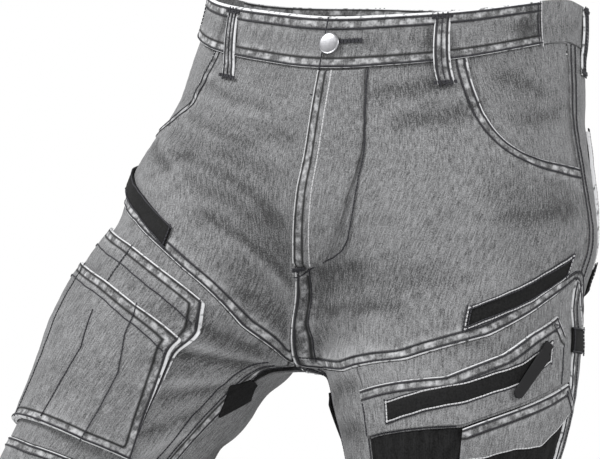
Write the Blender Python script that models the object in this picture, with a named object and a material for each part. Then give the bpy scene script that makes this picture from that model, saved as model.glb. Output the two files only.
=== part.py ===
"""Work trousers in grey stretch denim, filled out as on a wearer in a wide stance.

Metres, +Z up. The origin is the middle of the waist opening, the wearer faces -Y and the
wearer's left is +X. A place on the cloth is a side (1 left, -1 right), a turn u round that
side (0 centre front or inseam, 1 side seam, 2 centre back or inseam) and a depth s below
the waist, as on trousers that hang straight. Every piece is made there and then posed.
"""
from collections import namedtuple

import bmesh
import bpy
import numpy as np

LEFT, RIGHT = 1, -1

# Cut of the trousers
HipSection = namedtuple("HipSection", "depth half_width front back")
HIPS = (
    HipSection(0.000, 0.148, 0.107, 0.114),
    HipSection(0.045, 0.156, 0.110, 0.119),
    HipSection(0.110, 0.182, 0.112, 0.132),
    HipSection(0.190, 0.221, 0.107, 0.142),
    HipSection(0.260, 0.237, 0.098, 0.132),
    HipSection(0.330, 0.230, 0.089, 0.118),
)
LegSection = namedtuple("LegSection", "depth centre_x centre_y half_width front back")
LEGS = (
    LegSection(0.100, 0.096, 0.005, 0.092, 0.089, 0.105),
    LegSection(0.150, 0.096, 0.005, 0.101, 0.096, 0.113),
    LegSection(0.220, 0.100, 0.008, 0.108, 0.100, 0.117),
    LegSection(0.280, 0.112, 0.008, 0.116, 0.100, 0.109),
    LegSection(0.340, 0.124, 0.008, 0.113, 0.096, 0.100),
    LegSection(0.450, 0.146, 0.006, 0.084, 0.088, 0.089),
    LegSection(0.600, 0.176, 0.000, 0.067, 0.077, 0.074),
    LegSection(0.750, 0.206, 0.008, 0.061, 0.069, 0.071),
    LegSection(0.900, 0.236, 0.012, 0.058, 0.064, 0.067),
    LegSection(1.050, 0.266, 0.012, 0.056, 0.062, 0.064),
)
WAISTBAND = 0.038
CROTCH = 0.347
CROTCH_Y = 0.010
KNEE_SEAM = 0.620
HEM = 1.045
RISE_START = 0.100
BOWL_START, BOWL_DEPTH = 0.190, 0.094
LEG_JOIN, SEAT_JOIN = 0.045, 0.035
LEG_SCALE, SEAT_SCALE = 0.09, 0.12
SEAM_PULL, SEAM_PULL_FADE = 6, 0.03

# Stance
HIP_JOINT = np.array([0.095, 0.0, -0.130])
HIP_BEND = (0.05, 0.38)
TWIST_START, TWIST_SPAN = 0.16, 0.34
KNEE_JOINT = np.array([0.178, 0.010, -0.620])
KNEE_SPAN = 0.12
SEAM_BLEND, SEAM_NARROWS, SEAM_NARROWING = 0.06, (0.258, 0.11), 0.85
LegPose = namedtuple("LegPose", "out forward twist knee")
STANCE = {LEFT: LegPose(-1.2, 5.4, 5.9, 5.0), RIGHT: LegPose(7.0, 14.2, 11.2, 24.0)}
LEAN, PITCH = 7.6, -4.1
FRONT_DIP, BACK_RISE, DIP_FADE = 0.061, 0.015, 0.22
FRONT_REACH, BACK_REACH = 0.117, 0.12

# Cloth
CLOTH = 0.0015
BAND_CLOTH = 0.0024
SEAM_GAP = 0.00024
GIRTH_PER_TURN = 0.25
SEAM_CALM = 0.12
SLOPE_STEP, LONGEST_STEP = 1e-4, 0.02
SHORTER_DIAGONAL = 0.6
HALF_TURN = 0.5 * np.pi

# Creases: a soft trough (depth below zero) or ridge from one place to another
Fold = namedtuple("Fold", "side u0 s0 u1 s1 width height")
FOLD_FADE, FOLD_START = 4, 0.4
FOLDS = (
    Fold(RIGHT, 0.66, 0.098, 0.06, 0.150, 0.013, -0.0035),
    Fold(RIGHT, 0.62, 0.140, 0.12, 0.200, 0.014, -0.0045),
    Fold(RIGHT, 0.46, 0.205, 0.04, 0.262, 0.013, -0.0040),
    Fold(RIGHT, 0.32, 0.282, 0.04, 0.318, 0.012, -0.0040),
    Fold(RIGHT, 0.40, 0.346, 0.08, 0.350, 0.012, -0.0035),
    Fold(RIGHT, 0.30, 0.392, 0.04, 0.362, 0.012, -0.0035),
    Fold(RIGHT, 0.22, 0.440, 0.02, 0.385, 0.012, -0.0030),
    Fold(LEFT, 0.08, 0.288, 0.62, 0.268, 0.016, -0.0050),
    Fold(LEFT, 0.10, 0.330, 0.36, 0.318, 0.012, -0.0030),
    Fold(LEFT, 0.60, 0.185, 0.98, 0.160, 0.014, -0.0030),
    Fold(RIGHT, 1.95, 0.330, 1.30, 0.255, 0.018, -0.0060),
    Fold(RIGHT, 1.90, 0.375, 1.35, 0.330, 0.016, -0.0045),
    Fold(LEFT, 1.95, 0.335, 1.40, 0.290, 0.018, -0.0055),
    Fold(LEFT, 1.92, 0.380, 1.45, 0.350, 0.015, -0.0040),
    Fold(LEFT, 1.20, 0.610, 1.85, 0.600, 0.014, -0.0045),
    Fold(LEFT, 1.25, 0.665, 1.80, 0.670, 0.014, -0.0040),
    Fold(RIGHT, 1.15, 0.590, 1.88, 0.585, 0.016, -0.0065),
    Fold(RIGHT, 1.20, 0.640, 1.85, 0.650, 0.016, -0.0060),
    Fold(LEFT, 0.20, 0.975, 1.30, 0.965, 0.014, 0.0050),
    Fold(LEFT, 0.30, 1.010, 1.70, 1.015, 0.013, -0.0045),
    Fold(RIGHT, 0.10, 0.960, 1.00, 0.972, 0.014, 0.0050),
    Fold(RIGHT, 0.40, 1.008, 1.60, 1.012, 0.013, -0.0045),
)

# Columns and rows of the panels
SCOOP_START, SCOOP_DEPTH, SCOOP_POWER = 0.60, 0.107, 4
SCOOP_STEPS = np.radians((0, 20, 40, 60, 75, 90))
FRONT_COLUMNS = np.concatenate([
    (0.0, 0.09, 0.18, 0.27, 0.36, 0.44, 0.52),
    1 - (1 - SCOOP_START) * np.cos(SCOOP_STEPS),
])
BACK_COLUMNS = np.linspace(1, 2, 13)
INNER_EDGE = 0.36
ELASTIC = (0.87, 1.13)
BACK_BAND_COLUMNS = 9
HIP_ROWS, SHIN_ROWS = 11, 13
THIGH_ROWS = {LEFT: (4, 8), RIGHT: (8, 4)}

# Seams and pocket edges, each as (turn, depth) along its length
YOKE = {
    LEFT: ((0.0, CROTCH), (0.30, 0.356), (0.50, 0.342), (0.70, 0.308), (0.85, 0.268), (1.0, 0.236)),
    RIGHT: ((0.0, CROTCH), (0.20, 0.330), (0.40, 0.298), (0.60, 0.260), (0.80, 0.231), (1.0, 0.212)),
}
STRETCH_TOP = ((0.0, 0.430), (0.36, 0.412), (0.65, 0.390), (0.80, 0.362), (1.0, 0.325))
RIGHT_KNEE_TOP = ((0.0, 0.492), (0.50, 0.488), (1.0, 0.472))
ZIP_PANEL_TOP = (
    (0.35, 0.372), (0.60, 0.350), (0.74, 0.320), (0.81, 0.297), (0.90, 0.275), (0.94, 0.290),
)
ZIP_PANEL_LOW = ((0.35, 0.411), (0.65, 0.388), (0.80, 0.359), (0.94, 0.331))
ZIP_LINE = ((0.44, 0.388), (0.66, 0.359), (0.79, 0.334), (0.88, 0.308))
ZIP_HALF = 0.0075
TAPE_CLOTH = 0.0009
FACING_GAP = 0.0003
FLAP_TOP = ((0.65, 0.391), (0.80, 0.362), (0.97, 0.328), (1.03, 0.342))
FLAP_LOW = ((0.65, 0.418), (0.72, 0.411), (0.81, 0.397), (0.90, 0.388), (1.03, 0.346))
STRIP_LINE = {
    LEFT: ((0.64, 0.297), (0.78, 0.265), (0.93, 0.229)),
    RIGHT: ((0.46, 0.272), (0.60, 0.240), (0.80, 0.205), (1.02, 0.188)),
}
STRIP_HALF = {LEFT: 0.009, RIGHT: 0.0115}
BACK_STRIP_LINE = ((1.14, 0.226), (1.25, 0.230))
SIDE_TAB_LINE = ((0.985, 0.290), (1.085, 0.286))
SIDE_TAB_HALF, TAB_WALL = 0.011, 0.0024
CARGO_TOP = ((0.31, 0.322), (0.44, 0.304), (0.56, 0.286), (0.76, 0.262), (1.14, 0.258))
CARGO_SECOND = ((0.29, 0.360), (0.44, 0.344), (0.56, 0.328), (0.76, 0.306), (1.14, 0.302))
CARGO_LOW = ((0.15, 0.471), (0.32, 0.472), (0.63, 0.466), (1.14, 0.462))
FLY_WIDTH, FLY_END, FLY_CORNER, FLY_CORNER_RISE = 0.24, 0.262, 0.05, 0.045
GUSSET_DROP, GUSSET_LENGTH, GUSSET_TURN = 0.016, 0.042, 0.055
GUSSET_SPAN, GUSSET_WIDEST = (0.12, 0.97), 0.35
BackPocket = namedtuple("BackPocket", "turns top low point")
BACK_POCKET = BackPocket((1.27, 1.73), 0.108, 0.262, 0.016)

# Gap between each patch and the nominal face of the panels under it
LIFT = {
    "back_pocket": 0.0024,
    "cargo_pocket": 0.0022,
    "fly_flap": 0.0034,
    "crotch_gusset_left": 0.0043,
    "crotch_gusset_right": 0.0010,
    "hip_strip_front_left": 0.0007,
    "hip_strip_front_right": 0.0013,
    "hip_strip_back_left": 0.0010,
    "side_tab_left": 0.0006,
    "thigh_pocket_flap": 0.0007,
    "zip_pocket_panel": 0.0007,
    "zip_tape": 0.0006,
}

# Small parts
Loop = namedtuple("Loop", "name side u_top u_low")
BELT_LOOPS = (
    Loop("belt_loop_front_left", LEFT, 0.50, 0.50),
    Loop("belt_loop_side_left", LEFT, 1.13, 1.13),
    Loop("belt_loop_rear_left", LEFT, 1.62, 1.62),
    Loop("belt_loop_centre_back", LEFT, 1.965, 1.965),
    Loop("belt_loop_rear_right", RIGHT, 1.62, 1.62),
    Loop("belt_loop_side_right", RIGHT, 1.13, 1.13),
    Loop("belt_loop_front_right", RIGHT, 0.54, 0.44),
)
LOOP_HALF, LOOP_LENGTH, LOOP_ROWS = 0.0068, 0.062, 9
LOOP_SEAT, LOOP_BOW, LOOP_BOW_PART = 0.0032, 0.0020, 0.74
BUTTON_AT, BUTTON_RADIUS, BUTTON_DEEP = (0.075, 0.016), 0.0095, 0.0036
SLIDER_AT, PULL_END = (0.845, 0.314), (0.765, 0.363)
SLIDER_SIZE = (0.0080, 0.0130, 0.0030)
PULL_SIZE = (0.0110, 0.0480, 0.0026)
SLIDER_CLEAR, PULL_CLEAR, PULL_TIP_CLEAR = 0.0004, 0.0007, 0.0032
PIVOT_BACK, BEHIND_PIVOT = 0.0014, 0.0007

# Finishes: colour, roughness, metallic
Finish = namedtuple("Finish", "colour roughness metallic")
FINISHES = {
    "denim": Finish((0.135, 0.137, 0.142), 0.88, 0.0),
    "stretch": Finish((0.012, 0.012, 0.013), 0.80, 0.0),
    "webbing": Finish((0.016, 0.016, 0.017), 0.70, 0.0),
    "metal": Finish((0.62, 0.62, 0.63), 0.30, 1.0),
    "moulded": Finish((0.015, 0.015, 0.016), 0.45, 0.0),
}


def smooth(t):
    """Smooth step from 0 to 1."""
    t = np.clip(t, 0, 1)
    return t * t * (3 - 2 * t)


def along(rows, column, depth):
    """A section's measure at any depth, on a smooth curve through the rows."""
    table = np.array(rows)
    x, y = table[:, 0], table[:, table_column(rows, column)]
    slopes = np.gradient(y, x)
    depth = np.clip(depth, x[0], x[-1])
    i = np.clip(np.searchsorted(x, depth) - 1, 0, len(x) - 2)
    step = x[i + 1] - x[i]
    t = (depth - x[i]) / step
    ends = (2 * t**3 - 3 * t**2 + 1) * y[i] + (3 * t**2 - 2 * t**3) * y[i + 1]
    bends = (t**3 - 2 * t**2 + t) * slopes[i] + (t**3 - t**2) * slopes[i + 1]
    return ends + step * bends


def table_column(rows, column):
    """Where a named column stands in a table's rows."""
    return rows[0]._fields.index(column)


def edge(points):
    """A seam's depth at any turn, straight between its points."""
    turns, depths = zip(*points)
    return lambda u: np.interp(u, turns, depths)


def blend_join(a, b, reach):
    """The nearer of two forms, with a soft fillet where they meet."""
    h = np.maximum(reach - np.abs(a - b), 0) / reach
    return np.minimum(a, b) - h * h * reach / 4


def form(p):
    """Below zero inside the filled-out trousers, zero on the cloth."""
    x, y, depth = p[..., 0], p[..., 1], -p[..., 2]
    width, front, back = (along(HIPS, c, depth) for c in ("half_width", "front", "back"))
    bowl = np.maximum(0, depth - BOWL_START) / BOWL_DEPTH
    seat = np.sqrt((x / width)**2 + (y / np.where(y < 0, front, back))**2 + bowl**2 + 1e-12)
    names = ("centre_x", "centre_y", "half_width", "front", "back")
    cx, cy, width, front, back = (along(LEGS, c, depth) for c in names)
    deep = (y - cy) / np.where(y < cy, front, back)
    left, right = (np.sqrt(((x - side * cx) / width)**2 + deep**2 + 1e-12) for side in (LEFT, RIGHT))
    legs = blend_join((left - 1) * LEG_SCALE, (right - 1) * LEG_SCALE, LEG_JOIN)
    return blend_join((seat - 1) * SEAT_SCALE, legs, SEAT_JOIN)


def uphill(p):
    """Slope of the form."""
    e = SLOPE_STEP
    return np.stack([(form(p + d) - form(p - d)) / (2 * e) for d in np.eye(3) * e], -1)


def settle(p, rounds=12):
    """Moves points onto the cloth, straight along its slope."""
    for _ in range(rounds):
        g = uphill(p)
        step = (form(p) / np.maximum((g * g).sum(-1), 1e-3))[..., None] * g
        size = np.linalg.norm(step, axis=-1, keepdims=True)
        p = p - step * np.minimum(1, LONGEST_STEP / np.maximum(size, 1e-9))
    return p


def centre_seam(depth, towards):
    """y of the centre front (towards -1) or centre back (1) seam at each depth."""
    inside = np.full(np.shape(depth), CROTCH_Y)
    outside = inside + towards * 0.2
    for _ in range(24):
        y = (inside + outside) / 2
        full = form(np.stack([0 * y, y, -depth], -1)) < 0
        inside = np.where(full, y, inside)
        outside = np.where(full, outside, y)
    return (inside + outside) / 2


def rough_place(u, s):
    """A point near the cloth: hip sections above, leg sections below, centre seams between."""
    width, front, back = (along(HIPS, c, s) for c in ("half_width", "front", "back"))
    c, n = np.cos(HALF_TURN * u), np.sin(HALF_TURN * u)
    hip = np.stack([width * n, np.where(u < 1, -front * c, -back * c), -s], -1)
    names = ("centre_x", "centre_y", "half_width", "front", "back")
    cx, cy, width, front, back = (along(LEGS, c, s) for c in names)
    c, n = np.cos(np.pi * u), np.sin(np.pi * u)
    leg = np.stack([cx - width * c, cy - np.where(u < 1, front, back) * n, -s], -1)
    low = smooth((s - RISE_START) / (CROTCH - RISE_START))[..., None]
    top = np.minimum(s, CROTCH)
    seam_y = np.where(u < 1, centre_seam(top, -1), centre_seam(top, 1))
    seam = np.stack([0 * s, seam_y, -s], -1)
    near = np.minimum(1, np.abs(u - 1))**SEAM_PULL * (1 - smooth((s - CROTCH) / SEAM_PULL_FADE))
    return (hip * (1 - low) + leg * low) * (1 - near[..., None]) + seam * near[..., None]


def crease(side, u, s):
    """Height of the folds at a place on the cloth."""
    total = np.zeros(np.shape(u))
    for fold in FOLDS:
        start = np.array([fold.u0 * GIRTH_PER_TURN, fold.s0])
        run = np.array([fold.u1 * GIRTH_PER_TURN, fold.s1]) - start
        here = np.stack([u * GIRTH_PER_TURN, s], -1) - start
        t = (here @ run) / (run @ run)
        away = np.linalg.norm(here - np.clip(t, 0, 1)[..., None] * run, axis=-1)
        fade = smooth(FOLD_FADE * t + FOLD_START) * smooth(FOLD_FADE * (1 - t) + FOLD_START)
        bell = np.exp(-(away / fold.width)**2)
        total += np.where(side == fold.side, fold.height * fade * bell, 0)
    return total * smooth(u / SEAM_CALM) * smooth((2 - u) / SEAM_CALM)


def spin(p, centre, degrees, share):
    """Turns points about an axis through centre by a share of the given angles."""
    turn = np.radians(np.asarray(degrees, float))
    angle = np.linalg.norm(turn)
    axis = turn / angle
    a = (angle * share)[..., None]
    q = p - centre
    swung = q * np.cos(a) + np.cross(axis, q) * np.sin(a)
    return centre + swung + axis * (q @ axis)[..., None] * (1 - np.cos(a))


def pose(p):
    """Takes points from straight-hanging trousers to the wide stance."""
    x, y, s = p[..., 0], p[..., 1], -p[..., 2]
    half = SEAM_BLEND * (1 - SEAM_NARROWING * smooth((s - SEAM_NARROWS[0]) / SEAM_NARROWS[1]))
    to_left = smooth((x / half + 1) / 2)
    out = p.copy()
    for side, leg in STANCE.items():
        bend = smooth((s - KNEE_SEAM + KNEE_SPAN / 2) / KNEE_SPAN)
        q = spin(p, KNEE_JOINT * (side, 1, 1), (leg.knee, 0, 0), bend)
        about = HIP_JOINT * (side, 0, 0)
        q = spin(q, about, (0, 0, side * leg.twist), smooth((s - TWIST_START) / TWIST_SPAN))
        swing = smooth((s - HIP_BEND[0]) / (HIP_BEND[1] - HIP_BEND[0]))
        q = spin(q, HIP_JOINT * (side, 1, 1), (-leg.forward, -side * leg.out, 0), swing)
        out += (q - p) * (to_left if side > 0 else 1 - to_left)[..., None]
    drop = BACK_RISE * np.maximum(0, y / BACK_REACH)**2 - FRONT_DIP * np.maximum(0, -y / FRONT_REACH)**1.5
    out[..., 2] += drop * (1 - smooth(s / DIP_FADE))
    whole = np.ones(out.shape[:-1])
    out = spin(out, np.zeros(3), (0, LEAN, 0), whole)
    return spin(out, np.zeros(3), (PITCH, 0, 0), whole)


def skin(side, u, s, out=0.0):
    """Points on the cloth, moved out along its normal, in the stance."""
    side, u, s, out = np.broadcast_arrays(side, np.asarray(u, float), s, out)
    p = settle(rough_place(u, s))
    g = uphill(p)
    normal = g / np.linalg.norm(g, axis=-1, keepdims=True)
    p = p + normal * (out + crease(side, u, s))[..., None]
    p[..., 0] = np.maximum(p[..., 0], SEAM_GAP) * side
    return pose(p)


def add_object(name, points, faces, finish, smooth_shaded=True):
    mesh = bpy.data.meshes.new(name)
    mesh.from_pydata([tuple(p) for p in points], [], faces)
    bm = bmesh.new()
    bm.from_mesh(mesh)
    bmesh.ops.recalc_face_normals(bm, faces=bm.faces)
    bm.to_mesh(mesh)
    bm.free()
    if smooth_shaded:
        mesh.shade_smooth()
        mesh.set_sharp_from_angle(angle=np.radians(45))
    mesh.materials.append(bpy.data.materials[finish])
    obj = bpy.data.objects.new(name, mesh)
    bpy.context.scene.collection.objects.link(obj)
    return obj


def add_wall(name, outer, inner, finish):
    """A closed wall between two matching grids of points, cut along the same diagonals on both faces."""
    rows, columns = outer.shape[:2]
    count = rows * columns
    index = np.arange(count).reshape(rows, columns)
    faces = []
    for r in range(rows - 1):
        for c in range(columns - 1):
            corners = ((r, c), (r, c + 1), (r + 1, c + 1), (r + 1, c))
            one, two = (np.linalg.norm(outer[corners[k]] - outer[corners[k + 2]]) for k in (0, 1))
            turned = corners[1:] + corners[:1] if two < SHORTER_DIAGONAL * one else corners
            first, second, third, fourth = (int(index[corner]) for corner in turned)
            for face in ((first, second, third), (first, third, fourth)):
                faces.append(face)
                faces.append(tuple(i + count for i in reversed(face)))
    rim = list(index[0]) + list(index[1:, -1]) + list(index[-1, -2::-1]) + list(index[-2:0:-1, 0])
    for a, b in zip(rim, rim[1:] + rim[:1]):
        faces.append((int(b), int(a), int(a) + count, int(b) + count))
    points = np.concatenate([outer.reshape(-1, 3), inner.reshape(-1, 3)])
    return add_object(name, points, faces, finish)


def rows_between(counts):
    """Row marks over the stretches, each with its own count."""
    marks = [np.linspace(k, k + 1, n, endpoint=False) for k, n in enumerate(counts)]
    return np.concatenate(marks + [[len(counts)]])


def panel(name, side, columns, stations, counts, finish="denim", out=0.0, wall=CLOTH, low_columns=None):
    """A cloth panel: columns of turns, and rows between edges that run across it."""
    top_u = np.array(columns, float)
    low_u = top_u.copy() if low_columns is None else np.array(low_columns, float)
    inset = SEAM_GAP / GIRTH_PER_TURN
    for turns in (top_u, low_u):
        turns[0] += inset
        turns[-1] -= inset
    marks = rows_between(counts)
    share = (marks / marks[-1])[:, None]
    u = top_u * (1 - share) + low_u * share
    depths = np.array([station(u) if callable(station) else u * 0 + station for station in stations])
    lower = np.minimum(marks.astype(int), len(counts) - 1)
    rest = (marks - lower)[:, None]
    picked = np.arange(len(marks))
    s = depths[lower, picked] * (1 - rest) + depths[lower + 1, picked] * rest
    s[0] += SEAM_GAP
    s[-1] -= SEAM_GAP
    return add_wall(name, skin(side, u, s, out), skin(side, u, s, out - wall), finish)


def band(name, side, line, half, columns, finish, out, wall=CLOTH, rows=2):
    """A strip of even width along a line on the cloth."""
    middle = edge(line)
    turns = np.linspace(line[0][0], line[-1][0], columns)
    return panel(name, side, turns, (lambda u: middle(u) - half, lambda u: middle(u) + half),
                 (rows,), finish, out, wall)


def patch_band(name, side, line, half, columns, wall=CLOTH):
    """A strip of webbing sewn on over the panels."""
    band(name, side, line, half, columns, "webbing", LIFT[name] + wall, wall)


def scoop(u):
    """Edge of the front pocket opening: a squared quarter round from the waistband to the side seam."""
    away = np.clip((1 - u) / (1 - SCOOP_START), 0, 1)
    return WAISTBAND + SCOOP_DEPTH * (1 - away**SCOOP_POWER)**(1 / SCOOP_POWER)


def both_ways(points):
    """A seam that runs the same behind as in front."""
    front = edge(points)
    return lambda u: front(np.minimum(u, 2 - u))


def yoke(side):
    return both_ways(YOKE[side])


def pocket_point(u):
    """Low edge of a back pocket, deepest at its middle."""
    start, end = BACK_POCKET.turns
    return BACK_POCKET.low + BACK_POCKET.point * (1 - abs(2 * (u - start) / (end - start) - 1))


def fly_end(u):
    """Low edge of the fly, rounded up at its far corner."""
    return FLY_END - FLY_CORNER_RISE * np.clip((u - FLY_WIDTH + FLY_CORNER) / FLY_CORNER, 0, 1)**2


def make_waist():
    loop_turns = np.linspace(0, ELASTIC[0], 10)
    for side, name in ((LEFT, "left"), (RIGHT, "right")):
        out = BAND_CLOTH / 2
        panel(f"waistband_front_{name}", side, loop_turns, (0.0, WAISTBAND), (2,), "denim", out, BAND_CLOTH)
        turns = np.linspace(*ELASTIC, 5)
        panel(f"waist_elastic_{name}", side, turns, (0.0, WAISTBAND), (2,), "denim", out, BAND_CLOTH)
    turns = np.linspace(ELASTIC[1], 2, BACK_BAND_COLUMNS)
    turns[0] += SEAM_GAP / GIRTH_PER_TURN
    u = np.concatenate([turns, turns[-2::-1]])
    sides = np.where(np.arange(len(u)) < BACK_BAND_COLUMNS, LEFT, RIGHT)
    s = np.array([0.0, WAISTBAND / 2, WAISTBAND - SEAM_GAP])[:, None]
    outer, inner = (skin(sides, u, s, BAND_CLOTH * k) for k in (0.5, -0.5))
    add_wall("waistband_back", outer, inner, "denim")


def make_belt_loops():
    for loop in BELT_LOOPS:
        share = np.linspace(0, 1, LOOP_ROWS)[:, None]
        middle = loop.u_top * (1 - share) + loop.u_low * share
        half = LOOP_HALF / GIRTH_PER_TURN
        u = middle + np.array([-half, 0, half])
        s = share * LOOP_LENGTH + 0 * u
        bow = LOOP_SEAT + LOOP_BOW * np.sin(np.pi * np.clip(share / LOOP_BOW_PART, 0, 1))
        add_wall(loop.name, skin(loop.side, u, s, bow), skin(loop.side, u, s, bow - CLOTH), "denim")


def make_hips():
    pocket_turns = FRONT_COLUMNS[FRONT_COLUMNS > SCOOP_START + 0.001]
    pocket_turns = np.concatenate([[SCOOP_START + 0.004], pocket_turns])
    for side, name in ((LEFT, "left"), (RIGHT, "right")):
        panel(f"hip_front_{name}", side, FRONT_COLUMNS, (scoop, yoke(side)), (HIP_ROWS,))
        panel(f"hip_back_{name}", side, BACK_COLUMNS, (WAISTBAND, yoke(side)), (HIP_ROWS,))
        panel(f"pocket_facing_{name}", side, pocket_turns, (WAISTBAND, scoop), (4,), out=-CLOTH - FACING_GAP)
        turns = np.linspace(*BACK_POCKET.turns, 9)
        panel(f"back_pocket_{name}", side, turns, (BACK_POCKET.top, pocket_point), (7,), "denim",
              LIFT["back_pocket"] + CLOTH)
        patch_band(f"hip_strip_front_{name}", side, STRIP_LINE[side], STRIP_HALF[side], 10)
    patch_band("hip_strip_back_left", LEFT, BACK_STRIP_LINE, STRIP_HALF[RIGHT], 4)


def make_fly():
    turns = np.linspace(0.004, FLY_WIDTH, 7)
    panel("fly_flap", LEFT, turns, (WAISTBAND + 0.001, fly_end), (11,), "denim",
          LIFT["fly_flap"] + CLOTH)


def make_legs():
    outer = FRONT_COLUMNS[FRONT_COLUMNS >= INNER_EDGE - 1e-6]
    inner = FRONT_COLUMNS[FRONT_COLUMNS <= INNER_EDGE + 1e-6]
    stretch_top = both_ways(STRETCH_TOP)
    knee_top = both_ways(RIGHT_KNEE_TOP)
    rows, low_rows = THIGH_ROWS[LEFT]
    panel("thigh_inner_left", LEFT, inner, (yoke(LEFT), stretch_top, KNEE_SEAM), (rows, low_rows))
    panel("thigh_outer_left", LEFT, outer, (yoke(LEFT), stretch_top), (rows,))
    panel("stretch_panel_left", LEFT, outer, (stretch_top, KNEE_SEAM), (low_rows,), "stretch")
    rows, low_rows = THIGH_ROWS[RIGHT]
    panel("thigh_front_right", RIGHT, FRONT_COLUMNS, (yoke(RIGHT), knee_top), (rows,))
    panel("knee_front_right", RIGHT, FRONT_COLUMNS, (knee_top, KNEE_SEAM), (low_rows,))
    for side, name, middle in ((LEFT, "left", stretch_top), (RIGHT, "right", knee_top)):
        panel(f"shin_front_{name}", side, FRONT_COLUMNS, (KNEE_SEAM, HEM), (SHIN_ROWS,))
        stations = (yoke(side), middle, KNEE_SEAM, HEM)
        panel(f"leg_back_{name}", side, BACK_COLUMNS, stations, THIGH_ROWS[side] + (SHIN_ROWS,))


def make_gussets():
    """A kite on each inseam just below the crotch."""
    for side, name in ((LEFT, "left"), (RIGHT, "right")):
        share = np.linspace(*GUSSET_SPAN, 8)[:, None]
        narrowing = np.minimum(share / GUSSET_WIDEST, (1 - share) / (1 - GUSSET_WIDEST))
        half = GUSSET_TURN * narrowing
        u = half * np.linspace(-1, 1, 5)
        s = CROTCH + GUSSET_DROP + share * GUSSET_LENGTH + 0 * u
        lift = LIFT[f"crotch_gusset_{name}"]
        outer, inner = (skin(side, u, s, lift + CLOTH * k) for k in (1, 0))
        add_wall(f"crotch_gusset_{name}", outer, inner, "stretch")


def zip_panel_out():
    return LIFT["zip_pocket_panel"] + CLOTH


def tape_out():
    return zip_panel_out() + LIFT["zip_tape"] + TAPE_CLOTH


def make_left_pockets():
    turns = np.linspace(ZIP_PANEL_TOP[0][0], ZIP_PANEL_TOP[-1][0], 14)
    stations = (edge(ZIP_PANEL_TOP), edge(ZIP_PANEL_LOW))
    panel("zip_pocket_panel", LEFT, turns, stations, (3,), "denim", zip_panel_out())
    band("zip_tape", LEFT, ZIP_LINE, ZIP_HALF, 12, "webbing", tape_out(), TAPE_CLOTH)
    turns = np.linspace(FLAP_TOP[0][0], FLAP_TOP[-1][0], 11)
    out = LIFT["thigh_pocket_flap"] + CLOTH
    panel("thigh_pocket_flap", LEFT, turns, (edge(FLAP_TOP), edge(FLAP_LOW)), (3,), "denim", out)


def make_right_pocket():
    top, second, low = edge(CARGO_TOP), edge(CARGO_SECOND), edge(CARGO_LOW)
    low_turns = np.linspace(CARGO_LOW[0][0], CARGO_LOW[-1][0], 14)
    out = LIFT["cargo_pocket"] + CLOTH
    turns = np.linspace(CARGO_TOP[0][0], CARGO_TOP[-1][0], 14)
    panel("cargo_pocket_back", RIGHT, turns, (top, low), (9,), "denim", out, low_columns=low_turns)
    turns = np.linspace(CARGO_SECOND[0][0], CARGO_SECOND[-1][0], 14)
    panel("cargo_pocket_front", RIGHT, turns, (second, low), (7,), "denim", out * 2, low_columns=low_turns)


def frame_at(side, u, s, out, towards):
    """Origin and axes at a place on the cloth: across, along towards another place, outwards."""
    du, ds = 0.004, 0.001
    here = skin(side, u, s, out)
    round_it = skin(side, u + du, s, out) - skin(side, u - du, s, out)
    down = skin(side, u, s + ds, out) - skin(side, u, s - ds, out)
    outward = np.cross(round_it, down) * -side
    outward /= np.linalg.norm(outward)
    run = skin(side, *towards, out) - here
    run -= outward * (run @ outward)
    run /= np.linalg.norm(run)
    return here, np.cross(run, outward), run, outward


def turned_shape(place, profile, steps=20):
    """Points and faces of a profile (radius, height) turned about the outward axis."""
    here, across, run, outward = place
    rings = []
    for radius, height in profile:
        angles = np.arange(steps) * 2 * np.pi / steps
        spokes = np.cos(angles)[:, None] * across + np.sin(angles)[:, None] * run
        rings.append(here + radius * spokes + height * outward)
    faces = [tuple(range(steps))[::-1], tuple(range(steps * (len(profile) - 1), steps * len(profile)))]
    for k in range(len(profile) - 1):
        for i in range(steps):
            j = (i + 1) % steps
            faces.append((k * steps + i, k * steps + j, (k + 1) * steps + j, (k + 1) * steps + i))
    return np.concatenate(rings), faces


def make_button():
    out = BAND_CLOTH / 2 + 0.0006
    place = frame_at(LEFT, *BUTTON_AT, out, (0.9, BUTTON_AT[1]))
    r, h = BUTTON_RADIUS, BUTTON_DEEP
    profile = ((0.35 * r, 0), (0.35 * r, 0.3 * h), (0.96 * r, 0.34 * h), (r, 0.5 * h), (r, 0.72 * h),
               (0.93 * r, 0.9 * h), (0.80 * r, 0.86 * h), (0.5 * r, h))
    add_object("waist_button", *turned_shape(place, profile), "metal")


def bar(place, start, size, narrowing=1.0, rounding=4):
    """A flat bar that lies on the cloth from start, with a round end."""
    here, across, run, outward = place
    width, length, thick = size
    half = width / 2
    far = half * narrowing
    outline = [(-half, 0.0), (half, 0.0), (far, length - far)]
    for k in range(1, rounding * 2):
        angle = np.pi * k / (rounding * 2)
        outline.append((far * np.cos(angle), length - far + far * np.sin(angle)))
    outline.append((-far, length - far))
    flat = [here + x * across + (start + y) * run for x, y in outline]
    points = flat + [p + thick * outward for p in flat]
    n = len(outline)
    faces = [tuple(range(n)), tuple(range(2 * n - 1, n - 1, -1))]
    faces += [(i, i + n, (i + 1) % n + n, (i + 1) % n) for i in range(n)]
    return points, faces


def slider_place():
    """Where the slider rests on the zip, its run pointing to where the pull ends."""
    return frame_at(LEFT, *SLIDER_AT, tape_out() + SLIDER_CLEAR, PULL_END)


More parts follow.
